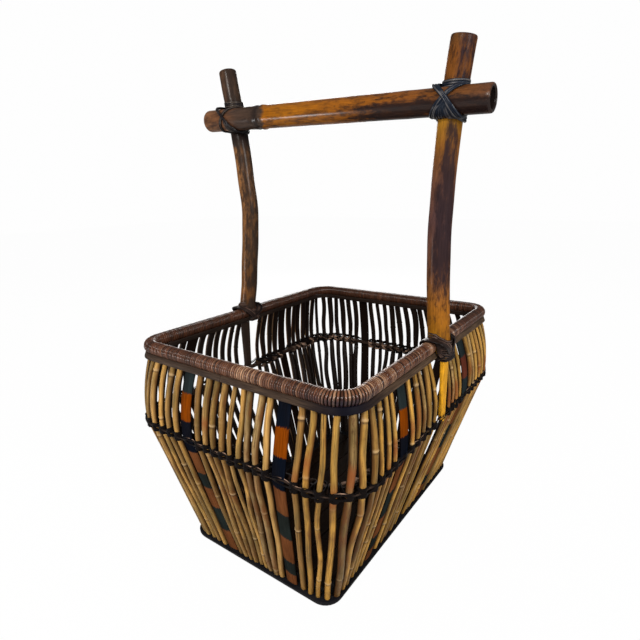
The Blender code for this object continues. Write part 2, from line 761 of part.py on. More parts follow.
def rim_strand(post, direction, layer, loops, steps):
    """Return points of one strand wound round the rim, the post's foot and its tongue.

    It passes over the rim on one side of the post and under the bands on the other side of the tongue.
    """
    lift = STRAND_RADIUS + GAP + WALL_CLEARANCE + layer * (STRAND_DIAMETER + LAYER_SPACING)
    outer = post_out(post, RIM_Z) + post["diameter"] / 2 + lift
    inner = RIM_SPAN_X / 2 - RIM_RADIUS - lift - STRAND_SPACING
    top = RIM_Z + RIM_RADIUS + lift
    foot = RIM_BAND_FOOT_Z - RIM_BAND_THICKNESS / 2 - lift
    beside_post = post["diameter"] / 2 + lift
    beside_tongue = TONGUE_WIDTH / 2 + STRAND_DIAMETER + STRAND_RADIUS + WALL_CLEARANCE
    beside_tongue += (loops - 0.25) * STRAND_PITCH
    points = []
    for index in range(int(loops * steps) + 1):
        turn = index / steps
        angle = 2 * pi * turn
        flat, tall = cos(angle), sin(angle)
        flat = np.sign(flat) * abs(flat) ** RIM_LOOP_SQUARENESS_SHARE
        tall = np.sign(tall) * abs(tall) ** RIM_LOOP_SQUARENESS_SHARE
        out = (outer + inner) / 2 + flat * (outer - inner) / 2
        z = (top + foot) / 2 + tall * (top - foot) / 2
        along = (beside_post - beside_tongue) / 2 + tall * (beside_post + beside_tongue) / 2
        points.append(Vector((post["sign"] * out, direction * (along + turn * STRAND_PITCH), z)))
    return points


def least_gap(points, steps):
    """Return the least gap between any two stretches of a strand at least half a loop apart."""
    spots = np.array([tuple(point) for point in points])
    apart = np.linalg.norm(spots[:, None] - spots[None, :], axis=2)
    index = np.arange(len(spots))
    near = abs(index[:, None] - index[None, :]) < steps // 2
    return apart[~near].min() - STRAND_DIAMETER


def make_lashing(name, strand, parts):
    """Make one strand of a lashing and print the least gap that it leaves to itself."""
    fine = 4 * LOOP_POINTS
    print(f"{name}: least gap to itself {1000 * least_gap(strand(fine), fine):.2f} mm")
    add_part(tube_curve(name, [strand(LOOP_POINTS)], STRAND_DIAMETER, 1), "lashing", parts)


def make_lashings(parts):
    """Make the lashings of the crossbar on the posts and of the posts on the rim, strand by strand."""
    for side, post in POST_SIDES.items():
        strands = {
            f"lashing_crossbar_{side}_under": lambda steps: cross_strand(post, 1, 0, CROSS_LOOPS, steps),
            f"lashing_crossbar_{side}_over": lambda steps: cross_strand(post, -1, 1, CROSS_LOOPS, steps),
            f"lashing_crossbar_{side}_collar": lambda steps: collar_strand(post, COLLAR_LOOPS, steps),
            f"lashing_rim_{side}_under": lambda steps: rim_strand(post, 1, 0, RIM_LOOPS, steps),
            f"lashing_rim_{side}_over": lambda steps: rim_strand(post, -1, 1, RIM_LOOPS, steps),
        }
        for name, strand in strands.items():
            make_lashing(name, strand, parts)


def main():
    """Build the basket."""
    clear_scene()
    parts = collection("bamboo_basket")
    cutters = collection("cutters")
    make_base(parts, cutters)
    make_canes(parts, cutters)
    make_staves(parts)
    make_waist(parts)
    make_rim(parts, cutters)
    for side, post in POST_SIDES.items():
        make_post(side, post, parts, cutters)
    make_crossbar(parts, cutters)
    make_lashings(parts)


main()
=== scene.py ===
"""Looks of a bamboo basket with a lashed pole handle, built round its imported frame.

Lengths are in metres, +Z is up and the origin is the centre of the underside.
X runs along the crossbar and Y along the long way of the mouth.
"""

import bpy
import numpy as np
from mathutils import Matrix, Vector


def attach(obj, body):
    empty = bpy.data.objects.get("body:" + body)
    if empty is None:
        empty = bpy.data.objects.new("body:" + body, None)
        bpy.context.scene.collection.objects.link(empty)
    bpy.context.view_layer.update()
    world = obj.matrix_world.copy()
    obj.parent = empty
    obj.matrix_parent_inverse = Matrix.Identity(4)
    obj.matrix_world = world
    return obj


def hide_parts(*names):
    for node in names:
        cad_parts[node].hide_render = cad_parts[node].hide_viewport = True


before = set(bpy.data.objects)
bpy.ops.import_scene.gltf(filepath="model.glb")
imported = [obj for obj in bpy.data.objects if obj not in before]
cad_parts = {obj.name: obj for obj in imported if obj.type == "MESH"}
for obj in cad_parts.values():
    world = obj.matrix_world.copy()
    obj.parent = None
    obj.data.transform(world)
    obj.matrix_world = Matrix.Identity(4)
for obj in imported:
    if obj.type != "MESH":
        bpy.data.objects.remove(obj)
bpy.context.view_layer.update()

bl_info = {
    "name": "Bamboo basket with a lashed handle",
    "version": (1, 0, 0),
    "blender": (4, 5, 0),
    "location": "View3D > Sidebar > Basket",
    "description": "Builds the canes, bindings, lashings and poles of a bamboo basket round its packed frame",
    "category": "Add Mesh",
}

UP = np.array([0.0, 0.0, 1.0])

# Wall of canes: half width, half depth and corner radius of the ring of cane centres
BASE_WALL = np.array([0.1003, 0.1568, 0.0133])
WAIST_WALL = np.array([0.1543, 0.19805, 0.0463])
RIM_WALL = np.array([0.1430, 0.1815, 0.0240])
WAIST_Z = 0.1690
WALL_TOP_Z = 0.2483
FOOT_Z = 0.0015
LOWEST_Z = 0.0001
BULGE = 0.0042

# Canes, and the node rings of each: how many, how far from its ends, and the rows of points round each
CANE_RADIUS = 0.0037
CANE_SPACING = 0.0048
CANE_ROWS = 30
CANE_SIDES = 10
NODE_COUNT = 2
NODE_MARGIN = 0.014
NODE_ROWS = np.array([-0.0042, -0.0026, -0.0017, -0.0008, 0.0004, 0.0016, 0.0030])
NODE_STRENGTHS = (0.15, 0.5, 0.9, 1.2)

# Shares of gold, brightness and thickness of the canes in each bay that differs from the usual one; the high gold and
# brightness of the two right bays are painted light, for the light falling on that side
USUAL_BAY = (0.15, 0.90, 1.0)
BAY_LOOKS = {"right_rear": (0.95, 1.0, 0.86), "right_fore": (0.95, 1.0, 0.90), "front_right_corner": (0.80, 0.62, 1.0),
             "back_right_corner": (0.60, 0.90, 0.90), "front_left_corner": (0.15, 0.78, 0.86)}

# Staves, as shares of half a side, anticlockwise seen from above; how far two of them drift sideways at the foot,
# waist and top; and the heights where their colours change
SIDES = ("right", "back", "left", "front")
STAVE_SHARES = {"right": (-0.51, 0.38), "back": (-0.50, 0.41), "left": (-0.41, 0.57), "front": (-0.35, 0.52)}
STAVE_DRIFT = {("front", -0.35): (-0.0030, 0.0025, -0.0035), ("front", 0.52): (0.0, -0.0038, 0.0025)}
RED_STAVES = (("right", 1), ("back", 0), ("left", 1))
STAVE_WIDTH = 0.0170
STAVE_SEEN = 0.0149
STAVE_THICKNESS = 0.0030
STAVE_CROWN = 0.0006
STAVE_OUT = 0.0009
STAVE_SIDES = 16
STAVE_CHANGES = np.array([0.0, 0.0246, 0.0463, 0.0853, 0.1226, 0.1581, 0.1927, 0.2198, 0.2500])
FRONT_CHANGES = {("front", 0): np.array([0.0, 0.0365, 0.0741, 0.1039, 0.1241, 0.1545, 0.1909, 0.2206, 0.2500]),
                 ("front", 1): STAVE_CHANGES}

# Rim, bands and hoops
RIM_Z = 0.2566
RIM_RADIUS = 0.0077
RIM_HALF_X = 0.1430
WINDING_STEPS = 16
STRIP_PROFILE = np.array([[0.5, 0.14], [0.30, 0.40], [-0.15, 0.53], [-0.5, 0.45], [-0.5, -0.45], [-0.15, -0.53],
                          [0.30, -0.40], [0.5, -0.14]])
# How dark each point of a strip's profile goes: painted shade in the grooves between turns
STRIP_GROOVE_SHADE = np.array([0.0, 0.70, 1.0, 1.0, 1.0, 1.0, 0.70, 0.0])
BAND_HEIGHT = 0.0066
BAND_THICKNESS = 0.0022
BAND_Z = WALL_TOP_Z + 0.0026 - BAND_HEIGHT / 2
BAND_LEAN = -0.387
BAND_CLEAR = 0.0046
SEAM_X = -0.0042
SEAM_GAP = 0.0004
BASE_HOOP_HEIGHT = 0.0065
BASE_HOOP_LIFT = 0.0004
BASE_HOOP_DEPTH = 0.0205
BASE_HOOP_IN = 0.0029
BASE_LEAN = 0.31
WAIST_HOOP_RADIUS = 0.0031
WAIST_HOOP_IN = 0.00745

# Ties of the waist: tilt, rise and growth of each knot loop; phase, height, thickness and share of painted highlight of
# each thread
KNOT_LOOPS = ((0.0048, 0.0, 0.0), (-0.0048, 0.0, 0.0005), (0.0008, 0.0030, 0.0001), (-0.0006, -0.0032, 0.0003))
THREADS = ((0.0, 0.0012, 1.0, 0.1), (np.pi, -0.0012, 1.0, 0.1), (0.5, 0.0034, 0.45, 1.0))

# Handle
POSTS = {
    "right": {"sign": 1, "radius": 0.01225, "rise": 0.3060, "narrow_rise": 0.1154,
              "narrow_out": 0.0, "top_out": 0.0155, "bend_power": 2.0},
    "left": {"sign": -1, "radius": 0.01125, "rise": 0.3216, "narrow_rise": 0.1434,
             "narrow_out": -0.0120, "top_out": 0.0130, "bend_power": 1.5},
}
TONGUE_WIDTH = 0.0165
TONGUE_THICKNESS = 0.0054
TONGUE_SPACING = 0.0088
TONGUE_X = 0.1554
TONGUE_FOOT_Z = 0.1645
BAR_LEFT = np.array([-0.1810, -0.0126, 0.5189])
BAR_RIGHT = np.array([0.1930, -0.0126, 0.5032])
BAR_RADII = (0.0135, 0.0130)
BAR_NODES = (-0.0885, 0.1087)

# End of a pole: steps out from its last row with shares of its radius, and how black each row is
POLE_LIP = ((0.0012, 0.985), (0.0019, 0.94), (0.0021, 0.80), (0.0016, 0.735), (0.0006, 0.72))
CUT_END = (*POLE_LIP, (-0.0020, 0.715))
BORE_END = (*POLE_LIP, (-0.0200, 0.71))
LIP_REACH = 0.0021
CUT_BLACK = (0.0, 0.15, 0.6, 0.8, 1.0, 1.0)
BORE_BLACK = (0.1, 0.4, 0.8, 1.0, 1.0, 1.0)

# Tones along the poles: a share of the way along and a colour
NEAR_POLE = ((0.0, 0.500, 0.235, 0.012), (0.20, 0.500, 0.235, 0.012), (0.25, 0.200, 0.076, 0.006),
             (0.32, 0.225, 0.082, 0.010), (0.42, 0.130, 0.050, 0.018), (0.56, 0.075, 0.036, 0.033),
             (0.66, 0.110, 0.046, 0.026), (0.76, 0.160, 0.062, 0.012), (0.83, 0.270, 0.125, 0.012),
             (0.88, 0.140, 0.050, 0.010), (0.96, 0.125, 0.042, 0.009), (1.0, 0.080, 0.032, 0.010))
FAR_POLE = ((0.0, 0.020, 0.012, 0.009), (0.22, 0.035, 0.018, 0.010), (0.26, 0.150, 0.058, 0.014),
            (0.40, 0.110, 0.048, 0.017), (0.55, 0.155, 0.068, 0.024), (0.70, 0.195, 0.088, 0.032),
            (0.768, 0.205, 0.095, 0.036), (0.782, 0.024, 0.020, 0.020), (0.83, 0.050, 0.028, 0.018),
            (1.0, 0.060, 0.032, 0.019))
CROSS_POLE = ((0.0, 0.150, 0.066, 0.028), (0.10, 0.105, 0.044, 0.020), (0.16, 0.045, 0.026, 0.018),
              (0.25, 0.040, 0.024, 0.016), (0.265, 0.215, 0.070, 0.003), (0.36, 0.235, 0.080, 0.004),
              (0.55, 0.205, 0.066, 0.005), (0.68, 0.175, 0.056, 0.006), (0.78, 0.145, 0.047, 0.008),
              (0.90, 0.105, 0.038, 0.010), (1.0, 0.075, 0.030, 0.014))

# Stage
CAMERA_PLACE = (0.330484, -0.477148, 0.426132)
CAMERA_TURN = (1.29825645, 0.02306726, 0.62172187)
CAMERA_LENS = 26.089
SENSOR = 36.0
FLOOR_REACH = 6.0
MIDDLE = (0.0, 0.0, 0.25)
HANDLE_MIDDLE = (0.0, 0.0, 0.5)


# Sizes and colours that a user would change

def length(name, description, default):
    """A length for a property group."""
    return bpy.props.FloatProperty(name=name, description=description, default=default, min=0.0, precision=4,
                                   unit="LENGTH")


def share(name, description, default):
    """A share between nought and one for a property group."""
    return bpy.props.FloatProperty(name=name, description=description, default=default, min=0.0, max=1.0,
                                   subtype="FACTOR")


def colour(name, description, default):
    """A linear colour for a property group."""
    return bpy.props.FloatVectorProperty(name=name, description=description, default=default, size=3,
                                         min=0.0, max=1.0, subtype="COLOR")


class BasketSizes(bpy.types.PropertyGroup):
    """Sizes of the basket's fine detail."""
    cane_spread: share("Cane size spread", "How much the canes differ in thickness", 0.28)
    cane_wander: length("Cane wander", "How far a cane strays sideways between its ends", 0.0016)
    cane_node: length("Cane node", "How far a cane's node rings stand out", 0.0005)
    strip_width: length("Strip width", "Width of the cane strip wound round the rim", 0.0027)
    strip_thickness: length("Strip thickness", "Thickness of the cane strip wound round the rim", 0.0014)
    strand_width: length("Strand width", "Width of a lashing strand", 0.0027)
    strand_thickness: length("Strand thickness", "Thickness of a lashing strand", 0.0015)
    knot_width: length("Knot strand width", "Width of the strands that tie the canes to the waist hoop", 0.0030)
    thread_width: length("Thread width", "Thickness of the cord between the knots", 0.0013)


class BasketColours(bpy.types.PropertyGroup):
    """Colours of the basket's finishes."""
    # Straw and gold are mixed per cane at random; the right side's bays take more gold as painted light
    straw: colour("Straw", "Cane skin on the shaded sides", (0.400, 0.226, 0.070))
    gold: colour("Gold", "Cane skin on the sunny side", (0.500, 0.262, 0.050))
    olive: colour("Olive", "Soft patches on the canes", (0.170, 0.115, 0.036))
    # Inner faces of canes and staves: dark stain together with painted shade, for the shade inside the basket
    inside_stain_and_shade: colour("Cane inside", "Stained inner face of the canes", (0.007, 0.004, 0.003))
    stave_dark: colour("Stave dark", "Smoked stretches of the staves", (0.0025, 0.004, 0.008))
    stave_teal: colour("Stave teal", "Smoked stretches low on the staves", (0.011, 0.015, 0.014))
    stave_orange: colour("Stave orange", "Bright stretch of the staves", (0.142, 0.030, 0.0014))
    stave_red: colour("Stave red", "Middle stretch of the duller staves", (0.075, 0.020, 0.012))
    stave_grey: colour("Stave grey", "Top stretch of the duller staves", (0.012, 0.017, 0.018))
    stave_brown: colour("Stave brown", "Brown stretches of the staves", (0.115, 0.040, 0.014))
    rim: colour("Rim strip", "Lacquered strip round the rim", (0.125, 0.045, 0.022))
    lashing: colour("Lashing", "Near-black lashing strands", (0.003, 0.005, 0.010))
    pole_dark: colour("Pole dark", "Smoked stretches of the poles", (0.014, 0.008, 0.006))
    stage: colour("Stage", "Pale floor", (0.600, 0.600, 0.595))


# Shapes as arrays

def unit(vectors):
    """Vectors divided by their own lengths."""
    return vectors / np.linalg.norm(vectors, axis=-1, keepdims=True)


def blend(low, high, amount):
    """Low plus an amount of the way to high."""
    return low + (high - low) * amount


def smooth(values, low, high):
    """Three t squared less two t cubed, where t is how far each value lies from low to high."""
    t = np.clip((values - low) / (high - low), 0, 1)
    return t * t * (3 - 2 * t)


def stretch(values, start, full, fading, end):
    """One between full and fading, and smoothly nought before the start and past the end."""
    return smooth(values, start, full) * (1 - smooth(values, fading, end))


def bell(values, centre, width):
    """Bell curve: e to the minus square of the distance from the centre over the width."""
    return np.exp(-((values - centre) / width) ** 2)


def full_turn(steps):
    """Angles of a full turn in equal steps."""
    return np.arange(steps) * 2 * np.pi / steps


def squared(wave, power):
    """Size of a wave to a power, with its sign kept: below one, a sine comes nearer to a square wave."""
    return np.sign(wave) * np.abs(wave) ** power


def wall(z):
    """Half width, half depth and corner radius of the ring of canes at heights z: straight from the foot to
    the waist, then straight to the rim with a parabola of four times the bulge times s times one less s."""
    low = np.minimum(z / WAIST_Z, 1)[..., None]
    high = np.clip((z - WAIST_Z) / (WALL_TOP_Z - WAIST_Z), 0, 1)[..., None]
    spans = BASE_WALL + (WAIST_WALL - BASE_WALL) * low + (RIM_WALL - WAIST_WALL) * high
    return spans + 4 * BULGE * high * (1 - high)


def ring_length(spans):
    """Length round a rounded rectangle: its straight runs plus one full circle of the corner radius."""
    return 4 * (spans[..., 0] + spans[..., 1] - 2 * spans[..., 2]) + 2 * np.pi * spans[..., 2]


def ring_place(spans, distance, z):
    """Points at distances round rounded rectangles, anticlockwise from the middle of the right side, and the
    outward directions there: each quarter is a straight run, an arc and a straight run, turned by its number
    times a right angle."""
    half_x, half_y, radius = np.moveaxis(spans, -1, 0)
    quarter = ring_length(spans) / 4
    number = np.floor(distance / quarter)
    along = distance - number * quarter
    run_in = np.where(number % 2 == 0, half_y, half_x) - radius
    run_out = np.where(number % 2 == 0, half_x, half_y) - radius
    arc = np.clip((along - run_in) / radius, 0, np.pi / 2)
    past = np.maximum(along - run_in - radius * np.pi / 2, 0)
    x = run_out + radius * np.cos(arc) - past
    y = np.minimum(along, run_in) + radius * np.sin(arc)
    turn = number * np.pi / 2
    spot = np.stack([x * np.cos(turn) - y * np.sin(turn), x * np.sin(turn) + y * np.cos(turn),
                     np.broadcast_to(z, x.shape)], -1)
    out = np.stack([np.cos(arc + turn), np.sin(arc + turn), np.zeros_like(x)], -1)
    return spot, out


def station(side, amount, z):
    """How far round the wall at heights z a share of half a side lies, with its drift."""
    spans = wall(z)
    number = SIDES.index(side)
    drift = np.interp(z, [0.0, WAIST_Z, WALL_TOP_Z], STAVE_DRIFT.get((side, amount), (0.0, 0.0, 0.0)))
    return number * ring_length(spans) / 4 + amount * spans[..., 1 if number % 2 == 0 else 0] + drift


def from_corner(points):
    """Distance of points, seen from above, from the rim's near right corner."""
    return np.linalg.norm(points[:, :2] - np.array([RIM_HALF_X, -RIM_WALL[1]]), axis=-1)


def oval(thickness, width, sides, power=1.0):
    """Profile of sides points: half the thickness times the cosine and half the width times the sine, both to a
    power, so that one gives an oval and less gives a rounded rectangle."""
    angle = full_turn(sides)
    return squared(np.stack([np.cos(angle), np.sin(angle)], -1), power) * np.array([thickness, width]) / 2


def carry(path, facing, profile, along=None):
    """Points of profiles carried along paths, and the same points in each path's own measure.

    A point is path + out N + across B. N is the facing direction made square to the path's direction T, and
    B is T cross N. In its own measure the point is (out, across, distance along the path).
    """
    along = unit(np.gradient(path, axis=-2)) if along is None else along
    facing = np.broadcast_to(facing, path.shape)
    normal = unit(facing - along * (facing * along).sum(-1, keepdims=True))
    side = np.cross(along, normal)
    profile = np.broadcast_to(profile, (*path.shape[:-1], *profile.shape[-2:]))
    out, across = profile[..., 0], profile[..., 1]
    points = path[..., None, :] + out[..., None] * normal[..., None, :] + across[..., None] * side[..., None, :]
    steps = np.linalg.norm(np.diff(path, axis=-2), axis=-1)
    distance = np.concatenate([np.zeros((*steps.shape[:-1], 1)), np.cumsum(steps, axis=-1)], -1)
    return points, np.stack([out, across, np.broadcast_to(distance[..., None], out.shape)], -1)


def quads(count, rows, columns, loop):
    """Corner numbers of the quads of tubes laid out row by row; loop joins the last row to the first."""
    sheet, row, column = np.meshgrid(np.arange(count), np.arange(rows if loop else rows - 1),
                                     np.arange(columns), indexing="ij")

    def corner(down, right):
        """Number of the corner that many rows and columns on."""
        return (sheet * rows + (row + down) % rows) * columns + (column + right) % columns

    return np.stack([corner(0, 0), corner(0, 1), corner(1, 1), corner(1, 0)], -1).reshape(-1, 4)


def tube_set(shape, loop=False, **marks):
    """One set of tubes for a piece: shape is what carry gives, for one tube or several, and marks are numbers
    for all of it or for each tube, row or point."""
    points, own = shape
    if points.ndim == 3:
        points, own = points[None], own[None]
        marks = {name: np.asarray(values)[None] for name, values in marks.items()}

    def laid(values):
        """Values repeated over all the points."""
        values = np.asarray(values, float)
        return np.broadcast_to(values.reshape(values.shape + (1,) * (3 - values.ndim)), points.shape[:-1])

    return {"points": points, "own": own, "loop": loop, "marks": {name: laid(marks[name]) for name in marks}}


def loops(path, facing, profile, **marks):
    """Set of closed tubes, whose direction at a row is from the row before it to the row after it."""
    along = unit(np.roll(path, -1, axis=-2) - np.roll(path, 1, axis=-2))
    return tube_set(carry(path, facing, profile, along), loop=True, **marks)


def add_piece(name, sets, finish, nodes):
    """Make one piece of one or more sets of tubes, give it its finish and put it in place of CAD nodes."""
    corners, begun, edges, starts = 0, 0, [], []
    for item in sets:
        count, rows, columns, _ = item["points"].shape
        faces = [quads(count, rows, columns, item["loop"]) + corners]
        if not item["loop"]:
            grid = corners + np.arange(count * rows * columns).reshape(count, rows, columns)
            faces.append(np.concatenate([grid[:, 0, ::-1], grid[:, -1]]))
        for rings in faces:
            edges.append(rings.ravel())
            starts.append(begun + rings.shape[1] * np.arange(len(rings)))
            begun += rings.size
        corners += count * rows * columns
    mesh = bpy.data.meshes.new(name)
    mesh.vertices.add(corners)
    mesh.vertices.foreach_set("co", np.concatenate([item["points"].reshape(-1) for item in sets]))
    edges, starts = np.concatenate(edges), np.concatenate(starts)
    mesh.loops.add(len(edges))
    mesh.loops.foreach_set("vertex_index", edges.astype(np.int32))
    mesh.polygons.add(len(starts))
    mesh.polygons.foreach_set("loop_start", starts.astype(np.int32))
    mesh.update(calc_edges=True)
    mesh.shade_smooth()
    own = mesh.attributes.new("own", "FLOAT_VECTOR", "POINT")
    own.data.foreach_set("vector", np.concatenate([item["own"].reshape(-1) for item in sets]))
    for mark in sorted({mark for item in sets for mark in item["marks"]}):
        values = [item["marks"].get(mark, np.zeros(item["points"].shape[:-1])).reshape(-1) for item in sets]
        mesh.attributes.new(mark, "FLOAT", "POINT").data.foreach_set("value", np.concatenate(values))
    mesh.set_sharp_from_angle(angle=1.0)
    mesh.materials.append(finish)
    piece = bpy.data.objects.new(name, mesh)
    bpy.context.scene.collection.objects.link(piece)
    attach(piece, "root")
    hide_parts(*nodes)
    return piece


# Finishes

class Nodes:
    """Adds shader nodes to a tree. All but add and put return the socket that holds what they make."""

    def __init__(self, tree):
        self.tree = tree

    def put(self, value, socket):
        """Link a socket to another one, or set it to a plain value."""
        if isinstance(value, bpy.types.NodeSocket):
            self.tree.links.new(value, socket)
        else:
            socket.default_value = value

    def add(self, kind, inputs=None, **settings):
        """Add a node, put its inputs, and return it."""
        node = self.tree.nodes.new("ShaderNode" + kind)
        for key, value in settings.items():
            setattr(node, key, value)
        for key, value in (inputs or {}).items():
            self.put(value, node.inputs[key])
        return node

    def mix(self, amount, first, second, kind="MIX"):
        """Colour between two colours."""
        inputs = {0: amount}
        for place, value in ((6, first), (7, second)):
            inputs[place] = value if isinstance(value, bpy.types.NodeSocket) else (*value, 1.0)
        return self.add("Mix", inputs, data_type="RGBA", blend_type=kind).outputs[2]

    def spread(self, value, low, high, to_low=0.0, to_high=1.0):
        """Value stretched from one range to another and held inside it."""
        inputs = {"Value": value, "From Min": low, "From Max": high, "To Min": to_low, "To Max": to_high}
        return self.add("MapRange", inputs).outputs[0]

    def math(self, kind, first, second=0.0):
        """One step of arithmetic."""
        return self.add("Math", {0: first, 1: second}, operation=kind).outputs[0]

    def plus(self, *values):
        """Sum of values."""
        total = values[0]
        for value in values[1:]:
            total = self.math("ADD", total, value)
        return total

    def times(self, first, second):
        """Product of two values."""
        return self.math("MULTIPLY", first, second)

    def mark(self, name):
        """Number that a piece carries on its points."""
        return self.add("Attribute", attribute_name=name).outputs["Fac"]

    def noise(self, vector, scale, detail=2.0, rough=0.5):
        """Soft noise between nought and one, as many waves to a metre each way as the scale says."""
        vector = self.add("VectorMath", {0: vector, 1: scale}, operation="MULTIPLY").outputs[0]
        inputs = {"Vector": vector, "Scale": 1.0, "Detail": detail, "Roughness": rough}
        return self.add("TexNoise", inputs).outputs["Fac"]

    def ramp(self, value, stops, kind="LINEAR"):
        """Colour read from stops, each a place between nought and one and a colour's three parts."""
        node = self.add("ValToRGB", {"Fac": value})
        node.color_ramp.interpolation = kind
        items = node.color_ramp.elements
        while len(items) < len(stops):
            items.new(1.0)
        for item, (place, *tone) in zip(items, stops):
            item.position = place
            item.color = (*tone, 1.0)
        return node.outputs["Color"]


def fibre_group():
    """Group of bamboo's lengthwise fibres, soft patches and small spots, all read from a piece's own measure."""
    found = bpy.data.node_groups.get("bamboo_fibre")
    if found:
        return found
    tree = bpy.data.node_groups.new("bamboo_fibre", "ShaderNodeTree")
    tree.interface.new_socket("Own", in_out="INPUT", socket_type="NodeSocketVector")
    tree.interface.new_socket("Seed", in_out="INPUT", socket_type="NodeSocketFloat")
    nodes = Nodes(tree)
    given = tree.nodes.new("NodeGroupInput").outputs
    shift = nodes.add("CombineXYZ", {"Z": nodes.times(given["Seed"], 37.7)}).outputs[0]
    own = nodes.add("VectorMath", {0: given["Own"], 1: shift}, operation="ADD").outputs[0]
    streak = nodes.noise(own, (1300.0, 1300.0, 42.0), 3.0, 0.6)
    coarse = nodes.noise(own, (500.0, 500.0, 60.0))
    made = {"Streak": streak, "Patch": nodes.noise(own, (90.0, 90.0, 22.0)),
            "Spot": nodes.noise(own, (420.0, 420.0, 190.0), 3.0, 0.6),
            "Height": nodes.plus(nodes.times(streak, 0.5), nodes.times(coarse, 0.5))}
    for name in made:
        tree.interface.new_socket(name, in_out="OUTPUT", socket_type="NodeSocketFloat")
    result = tree.nodes.new("NodeGroupOutput").inputs
    for name, value in made.items():
        nodes.put(value, result[name])
    return tree


class Finish(Nodes):
    """A material in the making, whose tone is covered step by step. Shine is how much it mirrors, and a fibrous
    one reads the fibre group from its piece's own measure."""

    def __init__(self, name, shine, fibrous=True):
        self.made = bpy.data.materials.new("basket_" + name)
        self.made.use_nodes = True
        super().__init__(self.made.node_tree)
        self.shader = self.tree.nodes["Principled BSDF"]
        self.put(shine, self.shader.inputs["Specular IOR Level"])
        if fibrous:
            self.own = self.add("Attribute", attribute_name="own").outputs["Vector"]
            inputs = {"Own": self.own, "Seed": self.mark("seed")}
            self.group = self.add("Group", inputs, node_tree=fibre_group()).outputs

    def fibre(self, name, low, high, to_low=0.0, to_high=1.0):
        """One output of the fibre group, stretched from one range to another."""
        return self.spread(self.group[name], low, high, to_low, to_high)

    def streak(self, to_low, to_high):
        """The group's streaks, stretched to a range."""
        return self.fibre("Streak", 0.3, 0.7, to_low, to_high)

    def across(self):
        """Distance from a strip's middle line."""
        return self.math("ABSOLUTE", self.add("SeparateXYZ", {0: self.own}).outputs["Y"])

    def cover(self, amount, tone, kind="MIX"):
        """Lay a tone over the one so far, as far as the amount says."""
        self.tone = self.mix(amount, self.tone, tone, kind)

    def shade(self, amount):
        """Multiply the tone so far by a grey."""
        self.cover(1.0, self.add("CombineColor", {0: amount, 1: amount, 2: amount}).outputs[0], "MULTIPLY")

    def done(self, rough, depth, coat=0.0, coat_rough=0.1, height=None):
        """Join tone, roughness and bump to the shader, set its coat, and return the material."""
        bump = self.add("Bump", {"Height": height or self.group["Height"], "Distance": depth}).outputs[0]
        values = {"Base Color": self.tone, "Roughness": rough, "Normal": bump, "Coat Weight": coat,
                  "Coat Roughness": coat_rough}
        for name, value in values.items():
            self.put(value, self.shader.inputs[name])
        return self.made


def cane_finish(tones):
    """Bamboo skin: straw or gold, greyed or browned on some canes, with olive and brown patches, rusty spots,
    cracks and node rings; painted shade down both sides of each cane and where it turns away from the outside,
    and a dark inner face that is stain with painted shade."""
    skin = Finish("cane", 0.04)
    seed, across = skin.mark("seed"), skin.across()
    skin.tone = skin.mix(skin.mark("golden"), tones.straw, tones.gold)
    greyed = skin.spread(seed, 0.80, 0.84, 0.0, 0.55)
    skin.cover(greyed, (0.360, 0.265, 0.140))
    browned = skin.spread(seed, 0.17, 0.21, 0.60, 0.0)
    skin.cover(browned, (0.210, 0.100, 0.030))
    skin.cover(skin.fibre("Patch", 0.42, 0.68, 0.0, 0.85), tones.olive)
    wide = skin.plus(skin.noise(skin.own, (60.0, 60.0, 30.0)), skin.spread(seed, 0.0, 1.0, -0.12, 0.14))
    skin.cover(skin.spread(wide, 0.50, 0.75, 0.0, 0.75), (0.150, 0.070, 0.022))
    rust = skin.times(skin.fibre("Spot", 0.55, 0.68), skin.spread(seed, 0.35, 1.0))
    skin.cover(skin.times(rust, 0.75), (0.100, 0.030, 0.011))
    # Painted shade: brown down both sides of each cane, for the shading of its round flanks
    side_shade = skin.plus(across, skin.streak(-0.0011, 0.0009), skin.spread(wide, 0.3, 0.7, -0.0010, 0.0010))
    skin.cover(skin.spread(side_shade, 0.0016, 0.0035, 0.0, 0.88), (0.095, 0.040, 0.010))
    crack = skin.noise(skin.own, (1500.0, 1500.0, 16.0))
    skin.cover(skin.spread(crack, 0.60, 0.66, 0.0, 0.75), (0.060, 0.028, 0.010))
    skin.shade(skin.times(skin.spread(skin.mark("tone"), 0.0, 1.0, 0.45, 1.18),
                          skin.fibre("Streak", 0.32, 0.68, 0.48, 1.24)))
    blush = skin.plus(skin.mark("reddened"), skin.spread(wide, 0.3, 0.7, -0.4, 0.3))
    skin.cover(skin.times(skin.spread(blush, 0.1, 0.7), 0.8), (0.160, 0.046, 0.012))
    skin.cover(skin.times(skin.mark("ring"), 0.5), (0.46, 0.32, 0.17))
    skin.cover(skin.times(skin.mark("line"), 0.9), (0.022, 0.011, 0.007))
    # Painted shade: brown on each cane's flanks as it turns from the outside, and near-black on its inner face, which
    # is dark stain with painted shade
    ragged = skin.plus(skin.mark("inner"), skin.streak(-0.14, 0.14))
    skin.cover(skin.spread(ragged, -0.55, 0.0, 0.0, 0.92), (0.075, 0.033, 0.010))
    skin.cover(skin.spread(ragged, -0.20, 0.12), tones.inside_stain_and_shade)
    return skin.done(skin.streak(0.36, 0.54), 0.00016, 0.04, 0.3)


